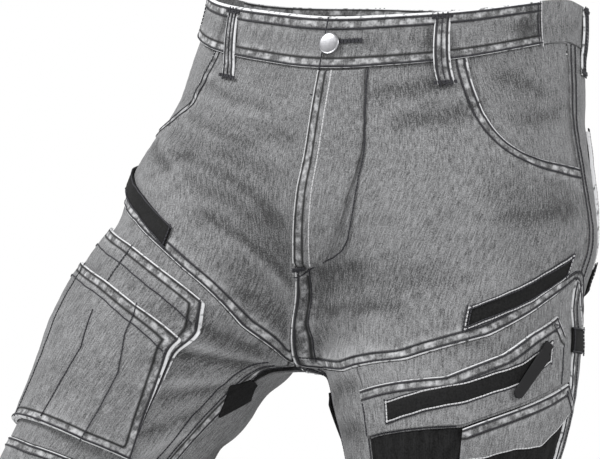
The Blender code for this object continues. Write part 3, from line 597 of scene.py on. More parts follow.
class Tree:
    """A node tree with short ways to add nodes."""

    def __init__(self, tree: bpy.types.NodeTree) -> None:
        self.tree = tree

    def node(self, kind: str, settings: dict[str, object] | None = None,
             **sockets: object) -> bpy.types.Node:
        """Adds a node; a socket value is a number, tuple or Value, by the socket's name with _ for spaces."""
        made = self.tree.nodes.new(kind)
        for name, value in (settings or {}).items():
            setattr(made, name, value)
        for name, value in sockets.items():
            spoken = name.replace("_", " ")
            found = [k for k in made.inputs if k.name == spoken and k.enabled] or [made.inputs[int(name[1:])]]
            if isinstance(value, Value):
                self.tree.links.new(value.socket, found[0])
            else:
                found[0].default_value = value
        return made

    def out(self, kind: str, output: str | int = 0, settings: dict[str, object] | None = None,
            **sockets: object) -> Value:
        """Adds a node and returns one of its outputs."""
        made = self.node(kind, settings, **sockets)
        if isinstance(output, int):
            return Value(self, made.outputs[output])
        return Value(self, next(k for k in made.outputs if k.name == output and k.enabled))

    def mix(self, share: object, a: object, b: object) -> Value:
        """Mixes two colours."""
        made = self.tree.nodes.new("ShaderNodeMix")
        made.data_type, made.clamp_factor = "RGBA", True
        for index, value in ((0, share), (6, a), (7, b)):
            if isinstance(value, Value):
                self.tree.links.new(value.socket, made.inputs[index])
            else:
                made.inputs[index].default_value = value if index == 0 else (*value, 1)
        return Value(self, made.outputs[2])


@dataclass(frozen=True)
class Value:
    """An output socket that adds, multiplies and so on."""

    tree: Tree
    socket: bpy.types.NodeSocket

    def _math(self, operation: str, a: object, b: object = 0.0, clamp: bool = False) -> Value:
        return self.tree.out("ShaderNodeMath", 0, {"operation": operation, "use_clamp": clamp}, _0=a,
                             _1=b)

    def __add__(self, other: object) -> Value:
        return self._math("ADD", self, other)

    def __radd__(self, other: object) -> Value:
        return self._math("ADD", other, self)

    def __sub__(self, other: object) -> Value:
        return self._math("SUBTRACT", self, other)

    def __rsub__(self, other: object) -> Value:
        return self._math("SUBTRACT", other, self)

    def __mul__(self, other: object) -> Value:
        return self._math("MULTIPLY", self, other)

    def __rmul__(self, other: object) -> Value:
        return self._math("MULTIPLY", other, self)

    def __truediv__(self, other: object) -> Value:
        return self._math("DIVIDE", self, other)

    def clamped(self) -> Value:
        return self._math("ADD", self, 0.0, clamp=True)

    def bell(self, centre: float, width: float) -> Value:
        """1 at the centre, falling to 0 a width away."""
        away = self._math("ABSOLUTE", self - centre)
        return (1.0 - away / width).clamped()

    def step(self, low: float, high: float) -> Value:
        """Smooth step from 0 at low to 1 at high."""
        settings = {"interpolation_type": "SMOOTHSTEP"}
        return self.tree.out("ShaderNodeMapRange", 0, settings, Value=self, From_Min=low, From_Max=high)


@dataclass(frozen=True)
class ClothFinish:
    """Tones of a cloth: dark and light grain, worn edge, and one dark tone for the mottles between stitch
    rows and for the painted shade in the groove beside a stitch.
    """

    dark: float
    light: float
    worn: float
    ditch: float
    grain: float
    streak: float
    roughness: float
    shine: float
    tint: tuple[float, float, float] = (0.985, 0.99, 1.01)


CLOTH_FINISHES = {
    Cloth.DENIM: ClothFinish(0.024, 0.180, 0.42, 0.005, 1050.0, 1.0, 0.92, 0.22),
    Cloth.STRETCH: ClothFinish(0.002, 0.010, 0.020, 0.002, 700.0, 1.0, 0.86, 0.08),
    Cloth.WEBBING: ClothFinish(0.002, 0.009, 0.03, 0.002, 600.0, 0.4, 0.78, 0.08),
}


@dataclass(frozen=True)
class SolidFinish:
    """A finish of a hard piece or of thread."""

    colour: tuple[float, float, float]
    roughness: float
    metallic: float = 0.0
    grain: float = 900.0
    change: float = 0.25
    shine: float = 0.35


SOLID_FINISHES = {
    Cloth.METAL: SolidFinish((0.23, 0.23, 0.24), 0.38, 1.0, 700.0, 0.18),
    Cloth.MOULDED: SolidFinish((0.006, 0.006, 0.0065), 0.62, 0.0, 420.0, 0.5, 0.12),
    Cloth.THREAD: SolidFinish((0.009, 0.009, 0.012), 0.80, 0.0, 1500.0, 0.6),
    Cloth.PALE_THREAD: SolidFinish((0.30, 0.30, 0.305), 0.85, 0.0, 1500.0, 0.35),
}


class Wardrobe:
    """Makes and keeps the materials."""

    def __init__(self) -> None:
        self.materials: dict[Cloth, bpy.types.Material] = {}
        for cloth, finish in CLOTH_FINISHES.items():
            self.materials[cloth] = self._cloth(cloth, finish)
        for cloth, finish in SOLID_FINISHES.items():
            self.materials[cloth] = self._solid(cloth, finish)

    @staticmethod
    def _start(name: str) -> tuple[bpy.types.Material, Tree, bpy.types.Node]:
        material = bpy.data.materials.new(name)
        material.use_nodes = True
        tree = Tree(material.node_tree)
        return material, tree, material.node_tree.nodes["Principled BSDF"]

    def _cloth(self, cloth: Cloth, finish: ClothFinish) -> bpy.types.Material:
        """A washed cloth: grain, streaks, creases' wash with painted highlight on fold ridges and painted
        shade in troughs, worn seams, and painted shade in the grooves beside stitches.
        """
        material, tree, shader = self._start(f"{cloth.value}_cloth")
        place = tree.out("ShaderNodeTexCoord", "Object")
        weave = tree.out("ShaderNodeUVMap", "UV", {"uv_map": "cloth"})
        seam = tree.out("ShaderNodeAttribute", "Fac", {"attribute_name": "seam"})
        fold = tree.out("ShaderNodeAttribute", "Fac", {"attribute_name": "fold"})
        wash = tree.out("ShaderNodeAttribute", "Fac", {"attribute_name": "wash"})
        noise = "ShaderNodeTexNoise"
        grain = tree.out(noise, "Fac", Vector=place, Scale=finish.grain, Detail=2.0, Roughness=0.6)
        thin = tree.out("ShaderNodeVectorMath", 0, {"operation": "MULTIPLY"}, _0=weave,
                        _1=(900.0, 90.0, 0.0))
        streak = tree.out(noise, "Fac", Vector=thin, Scale=1.0, Detail=1.0)
        cloud = tree.out(noise, "Fac", Vector=place, Scale=26.0, Detail=3.0, Roughness=0.55)
        mottle = tree.out(noise, "Fac", Vector=place, Scale=125.0, Detail=2.0, Roughness=0.6)
        breaks = tree.out(noise, "Fac", Vector=place, Scale=230.0, Detail=1.0)
        tone = (grain - 0.5) * 1.9 + (streak - 0.5) * (1.1 * finish.streak) + (cloud - 0.5) * 0.35 + 0.47
        # The fold attribute adds painted highlight on fold ridges and painted shade in fold troughs.
        tone = (tone + fold + wash).clamped()
        low, high = (tuple(k * t for t in finish.tint) for k in (finish.dark, finish.light))
        colour = tree.mix(tone, low, high)
        worn, ditch = (tuple(k * t for t in finish.tint) for k in (finish.worn, finish.ditch))
        halo = seam.step(0.0170, 0.0085) * mottle.step(0.40, 0.70) * 0.22
        band = seam.step(0.0084, 0.0070) * seam.step(0.0014, 0.0026)
        colour = tree.mix(halo + band * mottle.step(0.46, 0.74) * 0.36, colour, worn)
        colour = tree.mix(band * mottle.step(0.52, 0.34) * 0.40, colour, ditch)
        # Painted shade: dark lines along both stitch rows, standing for the grooves the stitches pull into
        # the cloth.
        lines = (seam.bell(0.0021, 0.0016) + seam.bell(0.0084, 0.0017)) * 1.3
        colour = tree.mix(lines.clamped() * 0.94, colour, ditch)
        colour = tree.mix(seam.step(0.0014, 0.0007) * breaks.step(0.30, 0.46) * 0.95, colour, worn)
        height = grain * 0.5 + streak * 0.4 + mottle * 0.6
        bumps = tree.out("ShaderNodeBump", "Normal", Height=height, Strength=0.30, Distance=0.0009)
        self._join_up(tree, shader, Base_Color=colour, Normal=bumps)
        shader.inputs["Roughness"].default_value = finish.roughness
        shader.inputs["Specular IOR Level"].default_value = finish.shine
        return material

    def _solid(self, cloth: Cloth, finish: SolidFinish) -> bpy.types.Material:
        material, tree, shader = self._start(f"{cloth.value}_finish")
        place = tree.out("ShaderNodeTexCoord", "Object")
        grain = tree.out("ShaderNodeTexNoise", "Fac", Vector=place, Scale=finish.grain, Detail=3.0)
        marks = tree.out("ShaderNodeTexNoise", "Fac", Vector=place, Scale=finish.grain / 6, Detail=2.0)
        low, high = (tuple(c * k for c in finish.colour) for k in (1 - finish.change, 1 + finish.change))
        colour = tree.mix((grain + marks) * 0.5, low, high)
        rough = (grain - 0.5) * 0.2 + (marks - 0.5) * 0.15 + finish.roughness
        bumps = tree.out("ShaderNodeBump", "Normal", Height=grain, Strength=0.15, Distance=0.0002)
        self._join_up(tree, shader, Base_Color=colour, Roughness=rough, Normal=bumps)
        shader.inputs["Metallic"].default_value = finish.metallic
        shader.inputs["Specular IOR Level"].default_value = finish.shine
        return material

    @staticmethod
    def _join_up(tree: Tree, shader: bpy.types.Node, **sockets: Value) -> None:
        for name, value in sockets.items():
            tree.tree.links.new(value.socket, shader.inputs[name.replace("_", " ")])


# Making meshes


class Lap(Enum):
    """Finish of a border: height of its raised band, width of the band, roll of the rim."""

    FELLED = (0.0009, 0.0098, 0.0010)
    TURNED = (0.0005, 0.0040, 0.0009)


@dataclass
class Piece:
    """One cut piece of cloth, between two edges and two turns."""

    name: str
    side: Side
    turns: tuple[float, float]
    top: Edge
    low: Edge
    cloth: Cloth = Cloth.DENIM
    out: float = 0.0
    wall: float = CLOTH
    laps: tuple[str, ...] = ()
    near: float = 0.012
    low_turns: tuple[float, float] | None = None
    scooped: bool = False
    round_back: bool = False
    lap: Lap = Lap.FELLED
    soft_border: float = 0.0
    gathers: float = 0.0
    rests_on: tuple[str, ...] = ()
    replaces: tuple[str, ...] = ()
    pitch: float = 0.0034


class Tailor:
    """Turns pieces, stitch lines and small profiles into objects that ride the trousers."""

    def __init__(self, form: TrouserForm, wardrobe: Wardrobe, body: str) -> None:
        self.form, self.wardrobe, self.body = form, wardrobe, body
        self.lines: dict[tuple[Side, str], Array] = {}
        self.threads: dict[tuple[str, Cloth], list[tuple[Array, Array]]] = {}
        self.triangles = 0

    # ---- lines on the cloth

    def mark(self, side: Side, name: str, points: Array) -> None:
        """Keeps a named line of (turn, depth) points."""
        self.lines[side, name] = np.asarray(points, float)

    def mark_edge(self, side: Side, name: str, line: Edge, start: float, end: float,
                  count: int = 60) -> None:
        u = np.linspace(start, end, count)
        self.mark(side, name, np.stack([u, line(u)], 1))

    @staticmethod
    def shifted(points: Array, offset: float) -> Array:
        """The line moved sideways on the cloth, to the right of its run for a positive offset."""
        g = girth(points[:, 1])
        flat = np.stack([points[:, 0] * g, points[:, 1]], 1)
        run = np.gradient(flat, axis=0)
        run /= np.maximum(np.linalg.norm(run, axis=1, keepdims=True), 1e-9)
        away = np.stack([-run[:, 1], run[:, 0]], 1) * offset
        return np.stack([points[:, 0] + away[:, 0] / g, points[:, 1] + away[:, 1]], 1)

    def away_from(self, side: Side, names: Sequence[str], u: Array, s: Array) -> Array:
        """Distance in metres from the nearest of the named lines, at most 30 mm."""
        best = np.full(u.shape, 0.03)
        g = girth(s)
        for name in names:
            if name.startswith("centre"):
                best = np.where(s > self.lines[side, name][0, 1],
                                np.minimum(best, self.form.from_centre(u, s)), best)
                continue
            line = self.lines[side, name]
            for (u0, s0), (u1, s1) in zip(line[:-1], line[1:]):
                ax, ay, bx, by = (u - u0) * g, s - s0, (u1 - u0) * g, np.full(u.shape, s1 - s0)
                t = np.clip((ax * bx + ay * by) / np.maximum(bx * bx + by * by, 1e-12), 0, 1)
                best = np.minimum(best, np.hypot(ax - t * bx, ay - t * by))
        return best

    # ---- cloth

    @staticmethod
    def _marks(length: float, pitch: float, near: float) -> Array:
        """Positions along a length: close together near both ends, even between."""
        ends = np.array([0, 0.0006, 0.0014, 0.0028, 0.0052, 0.0078, 0.0092, 0.0106])
        ends = ends[ends < min(near, length * 0.45)]
        inner = length - 2 * near
        middle = np.array([length / 2])
        if inner > 0:
            middle = np.linspace(near, length - near, max(2, int(np.ceil(inner / pitch)) + 1))
        if near > 0:
            marks = np.concatenate([ends, middle, length - ends])
        else:
            marks = np.linspace(0, length, max(3, int(length / pitch) + 1))
        return np.unique(np.round(marks, 6))

    def lattice(self, piece: Piece) -> tuple[Array, Array, Array]:
        """Turn, depth and side of each point of a piece, as rows by columns."""
        start, end = piece.turns
        inset = SEAM_GAP / GIRTH
        if piece.round_back:
            span = (2 - start) * 2 * GIRTH
            t = np.linspace(0, 1, int(span / piece.pitch) + 1)
            far = start + t * 2 * (2 - start)
            u, sign = np.where(far > 2, 4 - far, far), np.where(far > 2, -piece.side.value,
                                                                piece.side.value)
        else:
            u = self._marks((end - start) * GIRTH - 2 * SEAM_GAP, piece.pitch,
                            min(piece.near, 0.011)) / GIRTH + start + inset
            if piece.scooped:
                u = np.concatenate([u[u < SCOOP_START - 0.004], scoop_turns(52) - inset])
            sign = np.full(u.shape, piece.side.value)
        top, low = piece.top(u), piece.low(u)
        mean = float(np.mean(low - top))
        near = min(piece.near, mean * 0.3)
        marks = self._marks(mean - 2 * SEAM_GAP, piece.pitch, near)[:, None] + SEAM_GAP
        share = np.clip((marks - near) / max(mean - 2 * near, 1e-6), 0, 1)
        s = top + marks + (low - top - mean) * share
        if piece.low_turns is not None:
            first, last = piece.low_turns
            down = np.linspace(0, 1, len(s))[:, None]
            u_low = first + (u - start) / (end - start) * (last - first)
            top_low = piece.low(u_low)
            s = top + (s - top) / np.maximum(low - top, 1e-6) * (top_low - top)
            u = u * (1 - down) + u_low * down
        return np.broadcast_to(u, s.shape), s, np.broadcast_to(sign, s.shape)

    def sew(self, piece: Piece) -> bpy.types.Object:
        """Makes a piece of cloth as a closed thin shell.

        Args:
            piece: the cut piece.

        Returns:
            The finished object, which replaces the solid of the same name.
        """
        u, s, sign = self.lattice(piece)
        seam = self.away_from(piece.side, piece.laps, u, s)
        height, width, roll = piece.lap.value
        rise = height * (1 - smooth((seam - width) / 0.0014)) * smooth(seam / 0.0007)
        out = piece.out + rise
        # The fold attribute carries painted highlight on fold ridges and painted shade in troughs, with the
        # patches of the wash.
        fold = self.form.shade(sign, u, s)
        row, column = np.arange(s.shape[0])[:, None], np.arange(s.shape[1])[None]
        rim = (row == 0) | (row == s.shape[0] - 1) | ((column == 0) | (column == s.shape[1] - 1))
        if piece.round_back:
            rim = (row == 0) | (row == s.shape[0] - 1)
        out = out - np.where(rim, piece.wall * 0.45, 0)
        if piece.soft_border:
            down = self.away_from(piece.side, (piece.name,), u, s)
            out = out - piece.soft_border * (1 - smooth(down / 0.006))
        if piece.gathers:
            ripple = np.sin(2 * np.pi * (u * GIRTH / 0.0105 + 0.35 * waves(u * GIRTH, s, 0.05, 5)))
            out = out + piece.gathers * ripple * (0.55 + 0.45 * waves(u * GIRTH, s, 0.035, 9))
            # Painted highlight on the gathers' crests and painted shade in their hollows.
            fold = fold + piece.gathers * ripple * 250
        outer = self.form.skin(sign, u, s, out)
        inner = self.form.skin(sign, u, s, np.minimum(out, piece.out) - piece.wall * np.where(rim, 0.55,
                                                                                              1.0))
        obj = self.shell(f"cloth_{piece.name}", outer, inner, u * GIRTH, s, seam, fold, piece.cloth)
        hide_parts(*(piece.replaces or (piece.name,)))
        size = np.linalg.norm(np.diff(outer, axis=1),
                              axis=-1).sum(1), np.linalg.norm(np.diff(outer, axis=0), axis=-1).sum(0)
        self.declare(float(size[0].max()), float(size[1].max()), outer)
        return obj

    def shell(self, name: str, outer: Array, inner: Array, x: Array, y: Array, seam: Array, fold: Array,
              cloth: Cloth) -> bpy.types.Object:
        """A closed wall between two matching grids of points, with its cloth coordinates."""
        rows, columns = outer.shape[:2]
        count = rows * columns
        index = np.arange(count).reshape(rows, columns)
        a, b, c, d = index[:-1, :-1], index[:-1, 1:], index[1:, 1:], index[1:, :-1]
        outside = np.stack([a, b, c, d], -1).reshape(-1, 4)
        loop = np.concatenate([index[0], index[1:, -1], index[-1, -2::-1], index[-2:0:-1, 0]])
        after = np.roll(loop, -1)
        rim = np.stack([after, loop, loop + count, after + count], -1)
        quads = np.concatenate([outside, outside[:, ::-1] + count, rim])
        points = np.concatenate([outer.reshape(-1, 3), inner.reshape(-1, 3)])
        inside_out = np.einsum("ij,ij->", *self._facing(points, outside,
                                                        outer.reshape(-1, 3) - inner.reshape(-1, 3))) < 0
        if inside_out:
            quads = quads[:, ::-1]
        obj = self.mesh(name, points, quads, cloth)

        def two(values: Array) -> Array:
            return np.concatenate([values.reshape(-1), values.reshape(-1)])

        for title, values in (("seam", seam), ("fold", fold), ("wash", self.wash(x, y))):
            layer = obj.data.attributes.new(title, "FLOAT", "POINT")
            layer.data.foreach_set("value", two(np.broadcast_to(values,
                                                                (rows, columns))).astype(np.float32))
        loops = np.empty(len(obj.data.loops), np.int32)
        obj.data.loops.foreach_get("vertex_index", loops)
        uv = np.stack([two(x), two(y)], 1)[loops]
        layer = obj.data.uv_layers.new(name="cloth")
        layer.data.foreach_set("uv", uv.astype(np.float32).reshape(-1))
        return obj

    @staticmethod
    def wash(x: Array, y: Array) -> Array:
        """Broad paler and darker patches of the wash."""
        return 0.05 * waves(x, y, 0.16, 21)

    @staticmethod
    def _facing(points: Array, quads: Array, outward: Array) -> tuple[Array, Array]:
        a, b, d = (points[quads[:, k]] for k in (0, 1, 3))
        return np.cross(b - a, d - a) * 1e6, outward[quads[:, 0]] * 1e3

    def mesh(self, name: str, points: Array, quads: Array, cloth: Cloth,
             angle: float = 40.0) -> bpy.types.Object:
        """An object from points and equal-sided faces."""
        data = bpy.data.meshes.new(name)
        data.vertices.add(len(points))
        data.vertices.foreach_set("co", points.astype(np.float32).reshape(-1))
        sides = quads.shape[1]
        data.loops.add(quads.size)
        data.loops.foreach_set("vertex_index", quads.astype(np.int32).reshape(-1))
        data.polygons.add(len(quads))
        data.polygons.foreach_set("loop_start", np.arange(0, quads.size, sides, dtype=np.int32))
        data.update(calc_edges=True)
        data.validate()
        return self.place(bpy.data.objects.new(name, data), cloth, angle)

    def place(self, obj: bpy.types.Object, cloth: Cloth, angle: float = 40.0) -> bpy.types.Object:
        """Links an object, smooths it, gives it its finish and lets it ride the trousers."""
        bpy.context.scene.collection.objects.link(obj)
        obj.data.shade_smooth()
        obj.data.set_sharp_from_angle(angle=np.radians(angle))
        obj.data.materials.clear()
        obj.data.materials.append(self.wardrobe.materials[cloth])
        self.triangles += sum(len(p.vertices) - 2 for p in obj.data.polygons)
        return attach(obj, self.body)

    def declare(self, width: float, length: float, face: Array) -> None:
        a, b, d = face[:-1, :-1], face[:-1, 1:], face[1:, :-1]
        area = float(np.linalg.norm(np.cross(b - a, d - a), axis=-1).sum())
        width, length = max(width, 0.0101), max(length, 0.0101)

    # ---- stitches

    def stitch(self, group: str, side: Side, points: Array, out: float,
               cloth: Cloth = Cloth.THREAD) -> None:
        """Adds a stitched line to a group.

        Args:
            group: name of the object that the stitches join.
            side: side of the wearer.
            points: the line as (turn, depth) points.
            out: height over the nominal face in metres.
            cloth: finish of the thread.
        """
        points = np.asarray(points, float)
        g = girth(points[:, 1])
        steps = np.hypot(np.diff(points[:, 0]) * g[1:], np.diff(points[:, 1]))
        run = np.concatenate([[0], np.cumsum(steps)])
        at = np.linspace(0, run[-1], max(3, int(run[-1] / 0.0024) + 1))
        u, s = (np.interp(at, run, points[:, k]) for k in (0, 1))
        drift = 0.00022 * np.sin(at / 0.0071 + len(points)) + 0.00016 * np.sin(at / 0.0029)
        s = s + drift
        here = self.form.skin(side.value, u, s, out)
        outward = self.form.skin(side.value, u, s, out + 0.001) - here
        self.threads.setdefault((group, cloth), []).append((here, outward))

    def finish_threads(self, maker: StitchMaker) -> None:
        """Turns every group's lines into rows of stitches."""
        for (group, cloth), lines in self.threads.items():
            name = f"stitches_{group}_{cloth.value}"
            data = bpy.data.meshes.new(name)
            points = np.concatenate([line for line, _ in lines])
            starts = np.cumsum([0] + [len(line) for line, _ in lines])
            edges = [(i, i + 1) for a, b in zip(starts[:-1], starts[1:]) for i in range(a, b - 1)]
            data.from_pydata(points.tolist(), edges, [])
            layer = data.attributes.new("outward", "FLOAT_VECTOR", "POINT")
            layer.data.foreach_set("vector", np.concatenate([n for _,
                                                             n in lines]).astype(np.float32).reshape(-1))
            obj = bpy.data.objects.new(name, data)
            bpy.context.scene.collection.objects.link(obj)
            maker.apply(obj, self.wardrobe.materials[cloth])
            bpy.context.scene.collection.objects.unlink(obj)
            self.place(obj, cloth)


@dataclass(frozen=True)
class StitchMaker:
    """Geometry Nodes that set a thread on each step of a line."""

    pitch: float = 0.0031
    length: float = 0.0027
    thread: float = 0.00062

    def _tree(self) -> bpy.types.NodeTree:
        group = bpy.data.node_groups.new("stitch_row", "GeometryNodeTree")
        face = group.interface
        face.new_socket("Geometry", in_out="INPUT", socket_type="NodeSocketGeometry")
        for name in ("Pitch", "Length", "Thread"):
            face.new_socket(name, in_out="INPUT", socket_type="NodeSocketFloat")
        face.new_socket("Material", in_out="INPUT", socket_type="NodeSocketMaterial")
        face.new_socket("Geometry", in_out="OUTPUT", socket_type="NodeSocketGeometry")
        tree = Tree(group)
        given = group.nodes.new("NodeGroupInput").outputs
        value = {k.name: Value(tree, k) for k in given if k.name}
        curve = tree.out("GeometryNodeMeshToCurve", 0, Mesh=value["Geometry"])
        rows = tree.out("GeometryNodeResampleCurve", 0, {"mode": "LENGTH"}, Curve=curve,
                        Length=value["Pitch"])
        tangent = tree.out("GeometryNodeInputTangent", 0)
        outward = tree.out("GeometryNodeInputNamedAttribute", "Attribute", {"data_type": "FLOAT_VECTOR"},
                           Name="outward")
        aim = tree.out("FunctionNodeAxesToRotation", 0, {"primary_axis": "Z", "secondary_axis": "X"},
                       Primary_Axis=tangent, Secondary_Axis=outward)
        thread = tree.out("GeometryNodeMeshCylinder", "Mesh", Vertices=6, Side_Segments=1,
                          Radius=value["Thread"], Depth=value["Length"])
        placed = tree.out("GeometryNodeInstanceOnPoints", 0, Points=rows, Instance=thread, Rotation=aim)
        real = tree.out("GeometryNodeRealizeInstances", 0, Geometry=placed)
        done = tree.out("GeometryNodeSetMaterial", 0, Geometry=real, Material=value["Material"])
        group.links.new(done.socket, group.nodes.new("NodeGroupOutput").inputs[0])
        return group

    def apply(self, obj: bpy.types.Object, material: bpy.types.Material) -> None:
        """Replaces the object's lines by stitches, as a plain mesh."""
        group = bpy.data.node_groups.get("stitch_row") or self._tree()
        modifier = obj.modifiers.new("stitches", "NODES")
        modifier.node_group = group
        sockets = {k.name: k.identifier for k in group.interface.items_tree if k.in_out == "INPUT"}
        for name, value in (("Pitch", self.pitch), ("Length", self.length), ("Thread", self.thread),
                            ("Material", material)):
            modifier[sockets[name]] = value
        bpy.context.view_layer.update()
        seen = obj.evaluated_get(bpy.context.evaluated_depsgraph_get())
        made = bpy.data.meshes.new_from_object(seen)
        obj.modifiers.remove(modifier)
        obj.data = made
        made.name = obj.name


# Sub-assemblies


@dataclass
class Waist:
    """Waistband, elastic inserts and belt loops."""

    loops: tuple[tuple[str, Side, float, float], ...] = (
        ("front_left", L, 0.50, 0.50), ("side_left", L, 1.13, 1.13), ("rear_left", L, 1.62, 1.62),
        ("centre_back", L, 1.965, 1.965), ("rear_right", R, 1.62, 1.62), ("side_right", R, 1.13, 1.13),
        ("front_right", R, 0.54, 0.44),
    )
    loop_half: float = 0.0068
    loop_length: float = 0.062
    loop_seat: float = 0.0032
    loop_bow: float = 0.0020

    def build(self, tailor: Tailor) -> None:
        """Sews the waistband, its elastic inserts, the buttonhole and the belt loops."""
        out = BAND_CLOTH / 2
        for side in Side:
            word = side.word
            tailor.mark_edge(side, "band_low", level(WAISTBAND), -0.02, 2.02)
            tailor.mark_edge(side, "band_top", level(0.0), -0.02, 2.02)
            tailor.mark(side, "band_end", [(0, -0.01), (0, WAISTBAND + 0.01)])
            laps = ("band_low", "band_top") + (("band_end",) if side is L else ())
            tailor.sew(Piece(f"waistband_front_{word}", side, (0, ELASTIC[0]), level(0.0),
                             level(WAISTBAND), out=out,
                             wall=BAND_CLOTH, laps=laps, rests_on=(f"hip_front_{word}",)))
            tailor.sew(Piece(f"waist_elastic_{word}", side, ELASTIC, level(0.0), level(WAISTBAND),
                             out=out,
                             wall=BAND_CLOTH, rests_on=(f"hip_back_{word}",)))
            for start, end in ((0.012, ELASTIC[0] - 0.004), (ELASTIC[1] + 0.004, 2)):
                for depth in (0.0021, 0.0082, WAISTBAND - 0.0021):
                    tailor.stitch("waist", side, [(start, depth), (end, depth)], out + 0.0010)
            for u in (ELASTIC[0] - 0.010, ELASTIC[1] + 0.010):
                tailor.stitch("waist", side, [(u, 0.002), (u, WAISTBAND - 0.002)], out + 0.0008)
            tailor.stitch("waist", side, [(ELASTIC[0] + 0.003, 0.001), (ELASTIC[0] + 0.003, WAISTBAND)],
                          out + 0.0004, Cloth.PALE_THREAD)
        tailor.sew(Piece("waistband_back", L, (ELASTIC[1], 2), level(0.0), level(WAISTBAND), out=out,
                         wall=BAND_CLOTH,
                         laps=("band_low", "band_top"), round_back=True,
                         rests_on=("hip_back_left", "hip_back_right")))
        tailor.stitch("waist", L, [(0.0085, 0.001), (0.0085, WAISTBAND - 0.001)], out + 0.0010)
        self._buttonhole(tailor, out)
        for loop in self.loops:
            self._loop(tailor, *loop)

    @staticmethod
    def _buttonhole(tailor: Tailor, out: float) -> None:
        for offset in (-0.0011, -0.0004, 0.0004, 0.0011):
            tailor.stitch("buttonhole", L, [(0.118, 0.0165 + offset), (0.205, 0.0170 + offset)],
                          out + 0.0010)

    def _loop(self, tailor: Tailor, name: str, side: Side, u_top: float, u_low: float) -> None:
        """A belt loop: a bowed strip with rolled edges, tacked at both ends."""
        t = np.linspace(0, 1, 27)[:, None]
        middle = u_top * (1 - t) + u_low * t
        across = np.array([-1, -0.93, -0.72, -0.45, -0.2, 0, 0.2, 0.45, 0.72, 0.93, 1])
        half = self.loop_half / girth(0.03)
        u = middle + across * half
        s = 0.0012 + t * (self.loop_length - 0.0012) + 0 * u
        bow = self.loop_seat - 0.0010 + self.loop_bow * np.sin(np.pi * np.clip(t * 1.35, 0, 1))
        profile = np.array([-0.0009, 0.0000, 0.0005, 0.0001, -0.0002, -0.0003, -0.0002, 0.0001, 0.0005,
                            0.0000, -0.0009])
        ends = 0.0009 * (bump(t, 0.055, 0.05) + bump(t, 0.955, 0.05))
        out = bow + profile - ends
        sign = side.value
        outer, inner = tailor.form.skin(sign, u, s, out), tailor.form.skin(sign, u, s, bow - CLOTH)
        seam = np.abs(1 - np.abs(across)) * self.loop_half + 0 * u
        obj = tailor.shell(f"cloth_belt_loop_{name}", outer, inner, u * GIRTH, s, seam, 0 * u,
                           Cloth.DENIM)
        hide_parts(f"belt_loop_{name}")
        tailor.declare(2 * self.loop_half, self.loop_length, outer)
        for share in (-0.62, 0.0, 0.62):
            line = np.stack([middle[:, 0] + share * half, s[:, 0]], 1)
            self._raised(tailor, side, line, bow[:, 0] + 0.0003)
        for depth in (0.0030, 0.0042, self.loop_length - 0.0042, self.loop_length - 0.0030,
                      self.loop_length - 0.0018):
            centre = np.interp(depth / self.loop_length, (0, 1), (u_top, u_low))
            line = np.array([(centre - half * 1.15, depth), (centre, depth),
                             (centre + half * 1.15, depth)])
            self._raised(tailor, side, line, np.full(3, self.loop_seat - 0.0004))

    @staticmethod
    def _raised(tailor: Tailor, side: Side, line: Array, out: Array) -> None:
        here = tailor.form.skin(side.value, line[:, 0], line[:, 1], out)
        outward = tailor.form.skin(side.value, line[:, 0], line[:, 1], out + 0.001) - here
        tailor.threads.setdefault(("belt_loops", Cloth.THREAD), []).append((here, outward))


